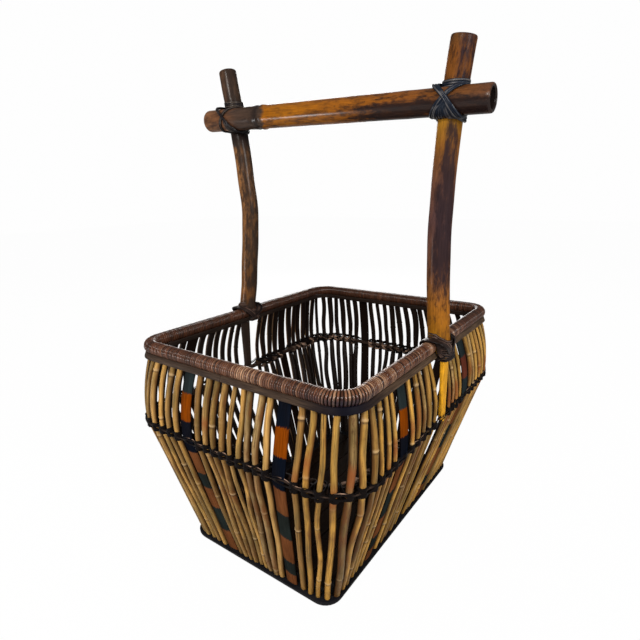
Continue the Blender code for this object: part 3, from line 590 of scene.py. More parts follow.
def stave_finish(name, tones, orange, dark, top_tone):
    """Smoked bamboo strip in dark, orange and brown stretches, with a dark inner face."""
    strip = Finish(name, 0.0)
    height = strip.plus(strip.mark("height"), strip.streak(-0.0016, 0.0016))
    top = float(STAVE_CHANGES[-1])
    order = 2 * (tones.stave_brown, tones.stave_teal) + (tones.stave_brown, dark, orange, top_tone)
    stops = [(float(z) / top, *tone) for z, tone in zip(STAVE_CHANGES, order)]
    strip.tone = strip.ramp(strip.math("DIVIDE", height, top), stops, "CONSTANT")
    strip.cover(strip.fibre("Patch", 0.35, 0.75, 0.0, 0.45), (0.006, 0.004, 0.003))
    strip.shade(strip.streak(0.62, 1.30))
    # Inner face: dark stain with painted shade
    strip.cover(strip.spread(strip.mark("inner"), -0.10, 0.30), tones.inside_stain_and_shade)
    return strip.done(0.48, 0.0001)


def rim_finish(tones):
    """Lacquered cane strip, each turn with its own tone, with painted shade: darker on the far and left arms,
    dark along both edges into the grooves between turns, and black under the strip at the near corner.
    """
    strip = Finish("rim_strip", 0.06)
    dark = [0.15 * part for part in tones.rim]
    strip.tone = strip.ramp(strip.mark("tint"), [(0.0, *dark), (0.40, *tones.rim), (0.75, 0.215, 0.102, 0.055),
                                                 (1.0, 0.34, 0.19, 0.11)])
    strip.cover(strip.fibre("Spot", 0.35, 0.70, 0.0, 0.7), (0.045, 0.018, 0.010))
    strip.cover(strip.mark("smoked"), (0.004, 0.004, 0.012))
    # Painted shade into the grooves between turns
    strip.cover(strip.times(strip.mark("edge"), 0.97), (0.006, 0.003, 0.002))
    return strip.done(strip.fibre("Spot", 0.3, 0.7, 0.26, 0.50), 0.0002, 0.30)


def plain_finish(name, first, second, rough, depth=0.00015):
    """Dark split bamboo: two tones mixed by its fibres and patches, and near-black where its piece marks painted shade.
    """
    strip = Finish(name, 0.02)
    amount = strip.times(strip.fibre("Streak", 0.35, 0.70), strip.fibre("Patch", 0.30, 0.70, 0.35, 1.0))
    strip.tone = strip.mix(amount, first, second)
    # Painted shade where the piece marks it
    strip.cover(strip.mark("smoked"), (0.003, 0.003, 0.006))
    return strip.done(rough, depth)


def lashing_finish(name, first, second, painted_sheen, shine):
    """Vine strands: two dark tones mixed by their fibres, with a painted highlight, paler along the middle in patches,
    and painted shade, black along both edges."""
    vine = Finish(name, shine)
    across = vine.across()
    vine.tone = vine.mix(vine.fibre("Streak", 0.35, 0.70), first, second)
    patch = vine.plus(vine.noise(vine.own, (120.0, 120.0, 55.0)), vine.spread(vine.mark("seed"), 0.0, 1.0, -0.12, 0.12))
    # Painted highlight along each strand's middle, then painted shade along its edges where strands meet
    vine.cover(vine.times(vine.spread(patch, 0.50, 0.66), vine.spread(across, 0.0003, 0.0009, 1.0, 0.0)), painted_sheen)
    vine.cover(vine.spread(across, 0.0008, 0.0013, 0.0, 0.9), (0.0015, 0.0015, 0.002))
    return vine.done(vine.streak(0.22, 0.40), 0.0003)


def thread_finish():
    """Dark knot strands, painted pale as a highlight on the threads between the canes and on the inner side of some
    loops.
    """
    thread = Finish("thread", 0.02)
    amount = thread.times(thread.mark("pale"), thread.fibre("Spot", 0.35, 0.60, 0.35, 1.0))
    thread.tone = thread.mix(amount, (0.004, 0.003, 0.003), (0.300, 0.190, 0.135))
    thread.cover(thread.fibre("Streak", 0.60, 0.8, 0.0, 0.22), (0.045, 0.029, 0.020))
    return thread.done(0.5, 0.0002)


def pole_finish(name, tones, axis, low, high, stops, smoke, dull, coat):
    """Smoked bamboo pole: tones read along one axis, mottled and streaked, with ragged patches of smoke."""
    pole = Finish(name, 0.01)
    part = pole.add("SeparateXYZ", {0: pole.add("TexCoord").outputs["Object"]}).outputs[axis]
    mottle = pole.noise(pole.own, (190.0, 190.0, 60.0), 6.0, 0.72)
    large = pole.noise(pole.own, (50.0, 50.0, 11.0), 3.0, 0.55)
    along = pole.plus(part, pole.spread(large, 0.3, 0.7, -0.012, 0.012))
    pole.tone = pole.ramp(pole.spread(along, low, high), stops)
    speck = pole.times(pole.spread(mottle, 0.45, 0.60), pole.fibre("Spot", 0.35, 0.6, 0.5, 1.0))
    pole.cover(pole.times(speck, pole.mark("mottled")), tones.pole_dark)
    smoked = pole.plus(pole.mark("darkened"), pole.spread(mottle, 0.3, 0.7, -0.36, 0.36), pole.streak(-0.20, 0.20),
                       pole.spread(large, 0.3, 0.7, -0.25, 0.25))
    pole.cover(pole.spread(smoked, 0.20, 0.85, 0.0, 0.93), smoke)
    pole.shade(pole.streak(0.70, 1.25))
    pole.cover(pole.mark("black"), (0.012, 0.008, 0.007))
    return pole.done(pole.spread(mottle, 0.35, 0.7, dull, dull + 0.15), 0.00008, coat, 0.20)


def floor_finish():
    """Dark split bamboo of the floor and the rim's core, read from the object's own coordinates; the floor's
    near-black tones are partly painted shade, for the shade inside the basket.
    """
    slat = Finish("floor", 0.02, fibrous=False)
    place = slat.add("TexCoord").outputs["Object"]
    grain = slat.noise(place, (700.0, 18.0, 700.0), 3.0, 0.6)
    patch = slat.noise(place, (30.0, 12.0, 30.0))
    # Near-black tones: dark bamboo with painted shade
    slat.tone = slat.mix(slat.spread(grain, 0.35, 0.7), (0.004, 0.0024, 0.0016), (0.016, 0.008, 0.004))
    slat.cover(slat.spread(patch, 0.4, 0.7, 0.0, 0.6), (0.007, 0.004, 0.003))
    return slat.done(0.6, 0.0002, height=grain)


def clad(node):
    """Give a CAD node that stays the floor's finish."""
    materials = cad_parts[node].data.materials
    materials.clear()
    materials.append(floor_finish())


# Wall

def marks_round():
    """Staves and tongues in order round the basket, each a side, a share of half that side and its kind."""
    found = [(side, amount, "stave") for side in SIDES for amount in STAVE_SHARES[side]]
    found += [(side, 0.0, "tongue") for side in POSTS]
    around = ring_length(wall(WAIST_Z))
    return sorted(found, key=lambda item: station(item[0], item[1], WAIST_Z) % around)


def half_clear(kind, z):
    """Half the width that a stave or a tongue keeps free of canes at heights z."""
    if kind == "stave":
        return STAVE_WIDTH / 2
    return blend(CANE_RADIUS, TONGUE_WIDTH / 2 + TONGUE_SPACING - CANE_SPACING, np.minimum(z / WAIST_Z, 1))


def bay_ends(first, last, z):
    """Where the free stretch of wall between two marks starts and ends at heights z."""
    start, end = station(first[0], first[1], z), station(last[0], last[1], z)
    end = np.where(end <= start, end + ring_length(wall(z)), end)
    return start + half_clear(first[2], z), end - half_clear(last[2], z)


def bay_list():
    """Each bay: its name, the marks on its two sides and its number of canes."""
    names = ("right_rear", "back_right_corner", "back", "back_left_corner", "left_rear", "left_fore",
             "front_left_corner", "front", "front_right_corner", "right_fore")
    rows = marks_round()
    bays = []
    for name, first, last in zip(names, rows, rows[1:] + rows[:1]):
        start, end = bay_ends(first, last, WALL_TOP_Z)
        count = round(float(end - start - CANE_SPACING) / (2 * CANE_RADIUS + CANE_SPACING))
        bays.append((name, first, last, count))
    return bays


def cane_distances(bay, z):
    """How far round the wall each cane of a bay stands at heights z, evenly spaced between its marks."""
    _, first, last, count = bay
    start, end = bay_ends(first, last, z)
    space = (end - start - 2 * count * CANE_RADIUS) / (count + 1)
    order = np.arange(count).reshape(-1, *(1,) * (np.ndim(z) - 1))
    return start + space + CANE_RADIUS + order * (2 * CANE_RADIUS + space)


def cane_bay(bay, seed, sizes, finish):
    """Canes of one bay. Each runs up the wall with a sideways wander of two sine waves, which is nought at the
    waist. Its radius is swelled by a bell curve at each node and drawn in just under it."""
    name, _, _, count = bay
    golden, bright, slim = BAY_LOOKS.get(name, USUAL_BAY)
    rng = np.random.default_rng(seed)

    def drawn(low, high, wide=1):
        """Random numbers between two limits for each cane."""
        return rng.uniform(low, high, (count, wide))

    step = (WALL_TOP_Z - FOOT_Z) / NODE_COUNT
    nodes = (drawn(0, 1) + np.arange(NODE_COUNT) + drawn(-0.2, 0.2, NODE_COUNT)) % NODE_COUNT
    nodes = np.clip(FOOT_Z + step * nodes, FOOT_Z + NODE_MARGIN, WALL_TOP_Z - NODE_MARGIN)
    strength = rng.choice(NODE_STRENGTHS, (count, NODE_COUNT))
    z = np.concatenate([np.broadcast_to(np.linspace(FOOT_Z, WALL_TOP_Z, CANE_ROWS), (count, CANE_ROWS)),
                        (nodes[..., None] + NODE_ROWS).reshape(count, -1)], 1)
    z = np.sort(z + 1e-6 * rng.random(z.shape), axis=1)

    def at_nodes(weight, below, width):
        """Sum of bell curves of a width, set that far under the nodes and weighed."""
        return (weight[..., None] * bell(z[:, None], nodes[..., None] - below, width)).sum(1)

    free = np.minimum(np.abs(z - WAIST_Z) / 0.03, 1) * np.minimum((WALL_TOP_Z - z) / 0.02 + 0.5, 1)
    waves = sum(drawn(0.3, 1.0) * np.sin(z / drawn(0.012, 0.040) + drawn(0, 6.28)) for _ in range(2))
    stray = (sizes.cane_wander * waves + drawn(-0.0014, 0.0014)) * free
    spot, out = ring_place(wall(z), cane_distances(bay, z) + stray, z)
    spot = spot + out * (drawn(-0.0004, 0.0004) * free)[..., None]
    thick = slim * (1 + sizes.cane_spread * drawn(-1, 1))
    thick = thick - np.maximum(thick - 0.94, 0) * bell(z, WAIST_Z, 0.018)
    swell = at_nodes(strength, 0.0, 0.0011) - 0.5 * at_nodes(strength, 0.0019, 0.0008)
    radius = CANE_RADIUS * thick * (1.02 - 0.04 * z / WALL_TOP_Z) + sizes.cane_node * swell
    circle = oval(2, 2, CANE_SIDES)
    points, own = carry(spot, out, circle * radius[..., None, None])
    points[..., 2] = np.maximum(points[..., 2], LOWEST_Z)
    strength = np.minimum(strength, 1)
    # Gold share: random round the bay's share, which on the right side's bays is painted light
    gold = np.clip(golden + drawn(-0.35, 0.35), 0, 1)
    blush = drawn(WAIST_Z - 0.005, WAIST_Z + 0.040)
    reddened = (drawn(0, 1) < 0.35) * 0.8 * bell(z, blush, drawn(0.008, 0.022))
    tubes = tube_set((points, own), seed=drawn(0, 1), ring=at_nodes(strength, 0.0, 0.0013),
                     line=at_nodes(strength, 0.0021, 0.0007), golden=gold, tone=bright * drawn(0, 1),
                     inner=np.broadcast_to(-circle[:, 0], (*z.shape, CANE_SIDES)), reddened=reddened)
    return add_piece(name + "_canes", [tubes], finish, ["canes_" + name])


def stave_piece(side, order, finish):
    """One flat stave: a rounded strip with a low crown, carried up the wall, with heights warped to its own
    colour changes."""
    rng = np.random.default_rng(40 + 2 * SIDES.index(side) + order)
    z = np.linspace(FOOT_Z, WALL_TOP_Z - 0.001, 60)
    spot, out = ring_place(wall(z), station(side, STAVE_SHARES[side][order], z), z)
    width = STAVE_SEEN * (1 + 0.04 * np.sin(z / 0.021 + rng.uniform(0, 6)))
    profile = oval(STAVE_THICKNESS, 1.0, STAVE_SIDES, 0.4) * np.ones((len(z), 1, 1))
    profile[..., 1] *= width[:, None]
    crown = STAVE_CROWN * (1 - (profile[..., 1] / (STAVE_SEEN / 2)) ** 2).clip(0)
    profile[..., 0] += crown * (profile[..., 0] > 0)
    changes = STAVE_CHANGES + np.concatenate([[0], rng.uniform(-0.004, 0.004, len(STAVE_CHANGES) - 2), [0]])
    height = np.interp(z, FRONT_CHANGES.get((side, order), changes), STAVE_CHANGES)
    inner = np.broadcast_to(-oval(2, 2, STAVE_SIDES)[:, 0], (len(z), STAVE_SIDES))
    tubes = tube_set(carry(spot + out * STAVE_OUT, out, profile), seed=rng.random(), height=height, inner=inner)
    number = ("first", "second")[order]
    return add_piece(f"{side}_stave_{number}", [tubes], finish, [f"stave_{side}_{number}"])


# Rim, bands and waist

def ring_band(name, slot, nodes, finish, spans, z, height, thickness, lean, seam=None):
    """Band round the basket: a rounded rectangle carried round a rounded rectangle and leaned outward by its
    height times the lean; where it has a seam, it starts and ends there with a hair's breadth between."""
    around = float(ring_length(spans))
    rows = 420
    distance = np.arange(rows) * around / rows
    if seam is not None:
        distance = np.linspace(seam + SEAM_GAP, seam + around - SEAM_GAP, rows)
    spot, out = ring_place(spans, distance, z)
    profile = oval(thickness, height, 14, 0.42)
    profile[:, 0] -= lean * profile[:, 1]
    # Painted shade: a band goes partly dark along the front under the rim, and near-black by the near right corner
    front = 0.35 * smooth(-spot[:, 1], 0.15, 0.18) * (1 - smooth(spot[:, 0], 0.10, 0.14))
    smoked = np.maximum(bell(from_corner(spot), 0.0, 0.048), front)
    tubes = tube_set(carry(spot, out, profile), loop=seam is None, seed=0.3, smoked=smoked)
    return add_piece(name, [tubes], finish, nodes)


def rim_winding(sizes, finish):
    """The strip wound round the rim: it follows a helix round the rim's centre line, one strip width for each
    turn, with its own radius and tone for each turn."""
    rng = np.random.default_rng(5)
    around = float(ring_length(RIM_WALL))
    turns = round(around / sizes.strip_width)
    turn = np.arange(turns * WINDING_STEPS) / WINDING_STEPS
    number = turn.astype(int)
    angle = 2 * np.pi * (turn - 0.25)
    core, out = ring_place(RIM_WALL, turn * around / turns, RIM_Z)
    facing = out * np.cos(angle)[:, None] + UP * np.sin(angle)[:, None]
    lift = rng.uniform(-0.00025, 0.00005, turns)[number]
    path = core + facing * (RIM_RADIUS - sizes.strip_thickness / 2 + lift)[:, None]
    tint = np.clip(rng.beta(1.5, 2.0, turns) + 0.35 * (rng.random(turns) < 0.06), 0, 1)
    tint = (tint * (0.90 + 0.3 * np.sin(np.arange(turns) / 9.0)))[number]
    # Painted shade: the turns darker along the far and left arms and lighter towards the right, as the light falls
    far = np.maximum(smooth(core[:, 1], -0.03, 0.15), 0.7 * smooth(-core[:, 0], 0.09, 0.14))
    tint = np.clip(tint * (1 - 0.65 * far) * (0.72 + 0.46 * smooth(core[:, 0], -0.09, 0.11)), 0, 1)
    # Painted shade: the strip's outer underside goes black at the near right corner
    outer = smooth(-facing[:, 2] + 0.4 * (facing * out).sum(-1), -0.35, 0.35)
    smoked = 0.9 * bell(from_corner(core), 0.0, 0.040) * outer
    tubes = loops(path, facing, STRIP_PROFILE * np.array([sizes.strip_thickness, sizes.strip_width]), tint=tint,
                  seed=tint * 0.1, smoked=smoked, edge=np.tile(STRIP_GROOVE_SHADE, (len(turn), 1)))
    return add_piece("rim_strip", [tubes], finish, ["rim_wrap_front", "rim_wrap_back"])


def waist_knots(canes, sizes, rng):
    """Knot loops, each an oval round a cane and the hoop, tilted by its height times the sine of the angle."""
    spot, out = (rows[:, None] for rows in ring_place(wall(WAIST_Z), canes, WAIST_Z))
    side = np.cross(UP, out)
    angle = full_turn(14)
    cosine, sine = np.cos(angle)[:, None], np.sin(angle)[:, None]
    reach = CANE_RADIUS + WAIST_HOOP_IN / 2 + WAIST_HOOP_RADIUS / 2
    profile = oval(sizes.knot_width / 2, sizes.knot_width, 6, 0.8)
    sets = []
    for tilt, rise, grow in KNOT_LOOPS:
        tilts = tilt + rng.uniform(-0.0012, 0.0012, len(canes))
        rises = rise * rng.uniform(0.7, 1.45, len(canes)) + rng.uniform(-0.0008, 0.0008, len(canes))
        wide, deep = CANE_RADIUS + 0.0009 + grow / 2, reach + grow / 2
        middle = CANE_RADIUS - 0.0001 + grow - deep
        path = spot + out * (middle + deep * cosine) + side * (wide * squared(sine, 0.7))
        path[..., 2] += rises[:, None] + tilts[:, None] * np.sin(angle)
        # Painted highlight: some loops pale on their inner side
        inside = smooth(-np.cos(angle), 0.2, 0.8) * rng.choice([0.0, 0.2, 0.7], (len(canes), 1))
        sets.append(loops(path, out * cosine + side * sine, profile, seed=rng.random((len(canes), 1)), pale=inside))
    return sets


def waist_threads(canes, flats, around, sizes, rng):
    """Threads round the outside, which ride out over each cane by a cosine and dip between them."""
    every = np.sort(np.concatenate([canes, flats]))
    steps = 8
    place = np.arange(len(every) * steps) / steps
    distance = np.interp(place, np.arange(len(every) + 1), np.append(every, every[0] + around))
    between = 0.5 - 0.5 * np.cos(2 * np.pi * place)
    sets = []
    for phase, low, wide, highlight in THREADS:
        height = WAIST_Z + low + 0.0012 * np.sin(np.pi * place + phase) + 0.0009 * np.cos(2 * np.pi * place)
        spot, out = ring_place(wall(WAIST_Z), distance, height)
        path = spot + out * (CANE_RADIUS + 0.0002 - 0.0024 * between)[:, None]
        # Painted highlight: the thread pale where it runs between some of the canes
        pale = highlight * between * (rng.random(len(every)) > 0.65)[place.astype(int)]
        thick = sizes.thread_width * wide
        sets.append(loops(path, out, oval(thick, 1.6 * thick, 6), seed=phase, pale=pale))
    return sets


def waist_ties(sizes, finish):
    """Knots and threads that hold all the canes, staves and tongues at the waist."""
    rng = np.random.default_rng(9)
    around = float(ring_length(wall(WAIST_Z)))
    canes = np.concatenate([cane_distances(bay, WAIST_Z) for bay in bay_list()])
    flats = np.array([station(side, amount, WAIST_Z) for side, amount, _ in marks_round()])
    canes, flats = np.sort(canes % around), np.sort(flats % around)
    sets = waist_knots(canes, sizes, rng) + waist_threads(canes, flats, around, sizes, rng)
    return add_piece("waist_ties", sets, finish, [])


def waist_hoop(finish):
    """The round hoop inside the waist."""
    spans = wall(WAIST_Z) - WAIST_HOOP_IN
    rows = 300
    spot, out = ring_place(spans, np.arange(rows) * float(ring_length(spans)) / rows, WAIST_Z)
    tubes = tube_set(carry(spot, out, oval(2, 2, 12) * WAIST_HOOP_RADIUS), loop=True, seed=0.7)
    return add_piece("waist_inner_hoop", [tubes], finish, ["waist_hoop"])


# Handle

def post_x(post, z):
    """How far out a post's axis stands: from its narrowest place outward by its bend to a power."""
    narrow, top = RIM_Z + post["narrow_rise"], RIM_Z + post["rise"]
    bend = (np.abs(z - narrow) / (top - narrow)) ** post["bend_power"]
    return RIM_HALF_X + blend(post["narrow_out"], post["top_out"], bend)


def with_ends(path, radii, first, last):
    """Path, its directions and its radii with end rows added: each is a step out along the end's direction and
    a share of the end's radius."""
    along = unit(np.gradient(path, axis=0))
    first = first[::-1]
    head = [path[0] - along[0] * step for step, _ in first]
    tail = [path[-1] + along[-1] * step for step, _ in last]
    directions = np.concatenate([np.repeat(along[:1], len(first), 0), along, np.repeat(along[-1:], len(last), 0)])
    radii = np.concatenate([[radii[0] * part for _, part in first], radii, [radii[-1] * part for _, part in last]])
    return np.concatenate([np.reshape(head, (-1, 3)), path, np.reshape(tail, (-1, 3))]), directions, radii


def post_smoke(side, height, angle):
    """How mottled a post is at its heights, how darkened it is there round it, and how black."""
    high, turned = height[:, None], np.cos(angle + 0.90)
    if side == "right":
        head = smooth(height, 0.515, 0.530)
        mottled = 0.38 + 0.62 * head + 0.42 * bell(height, 0.31, 0.05)
        darkened = (stretch(high, 0.290, 0.350, 0.410, 0.470) * smooth(turned, 0.20, 0.95)
                    + 0.85 * stretch(high, 0.42, 0.44, 0.480, 0.50) * smooth(turned, 0.70, 0.96)
                    + 0.75 * head[:, None] * smooth(np.cos(angle + 0.6), 0.30, 0.90))
        return mottled, darkened, 0.0
    mottled = 0.80 - 0.4 * bell(height, 0.27, 0.02)
    darkened = (0.85 - 0.15 * bell(high, 0.34, 0.03)) * smooth(np.cos(angle - 3.0), -0.35, 0.75)
    darkened = darkened + stretch(high, 0.486, 0.494, 0.512, 0.530)
    return mottled, darkened, 0.85 * stretch(height, 0.488, 0.493, 0.535, 0.542)


def post_piece(side, finish):
    """A post and its tongue in one sweep: from the tongue's round end up past the rim, where its oval profile
    grows smoothly into the pole's circle, and up the bend to the cut top."""
    post = POSTS[side]
    sign = post["sign"]
    rng = np.random.default_rng(70 + sign)
    z = np.concatenate([np.linspace(TONGUE_FOOT_Z, RIM_Z - 0.016, 34), np.linspace(RIM_Z - 0.014, RIM_Z + 0.006, 14),
                        np.linspace(RIM_Z + 0.010, RIM_Z + post["rise"] - LIP_REACH, 90)])
    grow = smooth(z, RIM_Z - 0.013, RIM_Z + 0.003)
    wander = 0.0004 * np.sin(z / 0.017 + rng.uniform(0, 6)) + 0.0003 * np.sin(z / 0.009)
    path = np.stack([sign * blend(TONGUE_X, post_x(post, z), grow), wander * grow, z], -1)
    round_end = np.sqrt(np.clip(1 - ((TONGUE_FOOT_Z + 0.006 - z) / 0.0062).clip(0) ** 2, 0.02, 1))
    radius = post["radius"] * (1 + 0.012 * np.sin(z / 0.031 + rng.uniform(0, 6)))
    taper = blend(0.74, 1.0, smooth(z, TONGUE_FOOT_Z, WALL_TOP_Z))
    halves = np.stack([blend(TONGUE_THICKNESS / 2, radius, grow),
                       blend(TONGUE_WIDTH / 2 * round_end * taper, radius, grow)], -1)
    path, along, scale = with_ends(path, np.ones(len(z)), (), CUT_END)
    halves = np.concatenate([halves, np.repeat(halves[-1:], len(CUT_END), 0)]) * scale[:, None]
    grow = np.concatenate([grow, np.ones(len(CUT_END))])
    angle = full_turn(36)
    wave = np.stack([np.cos(angle), np.sin(angle)], -1)
    profile = squared(wave, blend(0.5, 1.0, grow)[:, None, None]) * halves[:, None]
    mottled, darkened, black = post_smoke(side, path[:, 2], angle)
    black = black + 0.8 * np.concatenate([np.zeros(len(z)), CUT_BLACK])
    tubes = tube_set(carry(path, np.array([sign, 0, 0]), profile, along), seed=0.2 * sign,
                     mottled=np.clip(mottled, 0, 1), darkened=np.clip(darkened, 0, 1), black=black)
    return add_piece(side + "_pole", [tubes], finish, ["post_" + side])


def crossbar_piece(finish):
    """The crossbar: a straight pole with a swelled and grooved node, a faint one, and hollow ends."""
    amount = np.linspace(0, 1, 150)
    path = blend(BAR_LEFT, BAR_RIGHT, amount[:, None])
    x = path[:, 0]
    first, second = BAR_NODES
    radius = (blend(*BAR_RADII, amount) * (1 + 0.008 * np.sin(x / 0.023))
              + 0.0011 * bell(x, first + 0.004, 0.0035) + 0.0007 * bell(x, first - 0.006, 0.0035)
              - 0.0006 * bell(x, first - 0.001, 0.0016) + 0.0002 * bell(x, second, 0.008))
    path = path + unit(BAR_RIGHT - BAR_LEFT) * blend(LIP_REACH, -LIP_REACH, amount)[:, None]
    path, along, scale = with_ends(path, radius, BORE_END, BORE_END)
    x = path[:, 0]
    ends = np.concatenate([BORE_BLACK[::-1], np.zeros(len(amount)), BORE_BLACK])
    black = np.maximum(ends, 0.9 * bell(x, first - 0.001, 0.0055))
    sides = 40
    under = smooth(-np.cos(full_turn(sides)), -0.45, 0.25)
    darkened = (0.36 + 0.64 * smooth(x, 0.02, 0.09))[:, None] * under
    tubes = tube_set(carry(path, UP, oval(2, 2, sides) * scale[:, None, None], along), seed=0.9,
                     mottled=0.45 + 0.5 * smooth(x, -0.03, 0.10), darkened=darkened, black=black)
    return add_piece("cross_pole", [tubes], finish, ["crossbar"])


# Lashings

def crossing(post):
    """Where the crossbar passes a post: the bar's axis point, both axes' directions and the bar's radius."""
    run = BAR_RIGHT - BAR_LEFT
    amount = 0.5
    for _ in range(6):
        amount = float(post["sign"] * post_x(post, BAR_LEFT[2] + run[2] * amount) - BAR_LEFT[0]) / run[0]
    centre = BAR_LEFT + run * amount
    lean = float(post_x(post, centre[2] + 0.02) - post_x(post, centre[2] - 0.02))
    return centre, unit(run), unit(np.array([post["sign"] * lean, 0, 0.04])), blend(*BAR_RADII, amount)


def pushed_out(points, axis_point, axis, reach):
    """Points moved straight out from an axis until they lie at least a reach away."""
    axial = axis_point + axis * ((points - axis_point) @ axis)[..., None]
    away = points - axial
    return axial + away * np.maximum(1.0, reach / np.linalg.norm(away, axis=-1, keepdims=True))


def cross_loops(post, direction, lift, shifts, fills):
    """Loops lashed slantwise round a crossbar joint. In front of the bar they cross it slanting, side by side
    by their shifts along it; where a loop has a fill, its lower end is drawn in by that share of its reach."""
    centre, bar_axis, post_axis, bar = crossing(post)
    forward = abs(BAR_LEFT[1])
    reach_bar, reach_post = bar + lift, post["radius"] + lift
    angle = np.linspace(-np.pi / 2, 3 * np.pi / 2, 44, endpoint=False)[None]
    shifts = np.reshape(shifts, (-1, 1)) * (0.55 + 0.45 * np.abs(np.cos(angle)))
    front = np.clip(0.5 + 2 * np.sin(angle), 0, 1)
    drawn_in = np.reshape(fills, (-1, 1)) * smooth(angle, np.pi / 2, 0.72 * np.pi)
    along = direction * (reach_post * np.cos(angle) * (1 - drawn_in) + shifts * front)
    up = reach_bar * np.cos(angle) - shifts * (1 - front) + 0.0035 * front * np.sin(angle) ** 2
    depth = forward * (1 - front) - blend(reach_post, reach_bar, front) * np.sin(angle)
    points = centre + along[..., None] * bar_axis + up[..., None] * post_axis + depth[..., None] * np.array([0, 1.0, 0])
    points = pushed_out(points, centre, bar_axis, reach_bar)
    points = pushed_out(points, centre + np.array([0.0, forward, 0.0]), post_axis, reach_post)
    return points, unit(points - centre - np.array([0.0, forward / 2, 0.0]))


def collar_loops(centre, axis, radius, heights, dip, dip_towards):
    """Loops round a post: circles at heights along its axis, lowered by the dip on the side given."""
    angle = full_turn(36)
    out = np.stack([np.cos(angle), np.sin(angle), np.zeros_like(angle)], -1)[None]
    up = np.reshape(heights, (-1, 1)) - dip * np.clip(out @ np.asarray(dip_towards, float), 0, 1)
    points = centre + radius * out + up[..., None] * axis
    return points, np.broadcast_to(out, points.shape)


def rim_loops(post, direction, lift, count, pitch):
    """Loops round the rim, the post's foot and its tongue: over the rim on one side of the post and under the
    bands on the other side of the tongue. Out and up follow a squared oval, and along follows up."""
    outer = float(post_x(post, RIM_Z)) + post["radius"] + lift
    inner = RIM_HALF_X - RIM_RADIUS - lift - 0.0012
    top, foot = RIM_Z + RIM_RADIUS + lift, BAND_Z - BAND_HEIGHT / 2 - lift
    angle = full_turn(40)
    flat, tall = squared(np.cos(angle), 0.75), squared(np.sin(angle), 0.75)
    order = np.arange(count)[:, None] * pitch
    beside_post, beside_tongue = post["radius"] + lift, TONGUE_WIDTH / 2
    along = blend(-beside_tongue, beside_post, 0.5 + 0.5 * tall)
    along = along + blend(order - (count - 1) * pitch / 2, 0.6 * order, 0.5 + 0.5 * tall)
    out, z = blend(inner, outer, 0.5 + 0.5 * flat), blend(foot, top, 0.5 + 0.5 * tall)
    points = np.stack(np.broadcast_arrays(post["sign"] * out, direction * along, z), -1)
    middle = np.array([post["sign"] * (outer + inner) / 2, 0, (top + foot) / 2])
    return points, unit((points - middle) * np.array([1.0, 0.15, 1.0]))


def closed_curves(corners, steps):
    """Closed curves through corners: from one corner to the next a cubic whose slope at each corner is half the
    step between the corners on its two sides."""
    t = (np.arange(steps) / steps)[:, None]
    slope = (np.roll(corners, -1, axis=1) - np.roll(corners, 1, axis=1))[:, :, None] / 2
    here, there = corners[:, :, None], np.roll(corners, -1, axis=1)[:, :, None]
    points = (here * (1 + 2 * t) * (1 - t) ** 2 + slope * t * (1 - t) ** 2 + there * t * t * (3 - 2 * t)
              + np.roll(slope, -1, axis=1) * t * t * (t - 1))
    return points.reshape(len(corners), -1, 3)


def flank_loops(post, direction, lift, count):
    """Loops that come over the rim beside the post, fan out down the flank of its foot, cross its outer face
    and go back under the bands on the other side."""
    order = np.arange(count) / (count - 1)
    outer = max(float(post_x(post, RIM_Z)) + post["radius"], TONGUE_X + TONGUE_THICKNESS / 2) + lift
    inner = RIM_HALF_X - RIM_RADIUS - lift
    top, foot = RIM_Z + RIM_RADIUS + lift, BAND_Z - BAND_HEIGHT / 2 - lift
    beside, low = post["radius"] + lift, TONGUE_WIDTH / 2 + lift
    middle = blend(RIM_Z + 0.0050, foot + 0.0010, order)
    corners = ((inner, -beside - 0.002 * order, RIM_Z + 0.002),
               (RIM_HALF_X, -beside - 0.0035 * (1 - order), top),
               (blend(RIM_HALF_X, outer, 0.62), -beside + 0.0015 * order, blend(top, middle, 0.85)),
               (outer, -low * 0.72, middle),
               (outer, low * 0.55, blend(middle, foot, 0.75)),
               (blend(RIM_HALF_X, outer, 0.60), low + 0.001 * order, foot),
               (inner, low, blend(foot, RIM_Z, 0.4)))
    signs = np.array([post["sign"], direction, 1])
    corners = [np.stack(np.broadcast_arrays(order, *corner)[1:], -1) * signs for corner in corners]
    rim = np.array([post["sign"] * RIM_HALF_X, 0.0, RIM_Z])
    points = pushed_out(closed_curves(np.stack(corners, 1), 8), rim, np.array([0.0, 1.0, 0.0]), RIM_RADIUS + lift)
    return points, unit((points - rim - np.array([post["sign"] * 0.004, 0, 0])) * np.array([1.0, 0.7, 1.0]))


def lashing_piece(name, nodes, parts, sizes, finish):
    """Piece of closed strands, flat side out: each part is a seed for its strands' tones and their loops."""
    profile = oval(sizes.strand_thickness, sizes.strand_width, 8, 0.8)
    sets = [loops(points, facing, profile, seed=np.random.default_rng(seed).random((len(points), 1)))
            for seed, (points, facing) in parts]
    return add_piece(name, sets, finish, nodes)


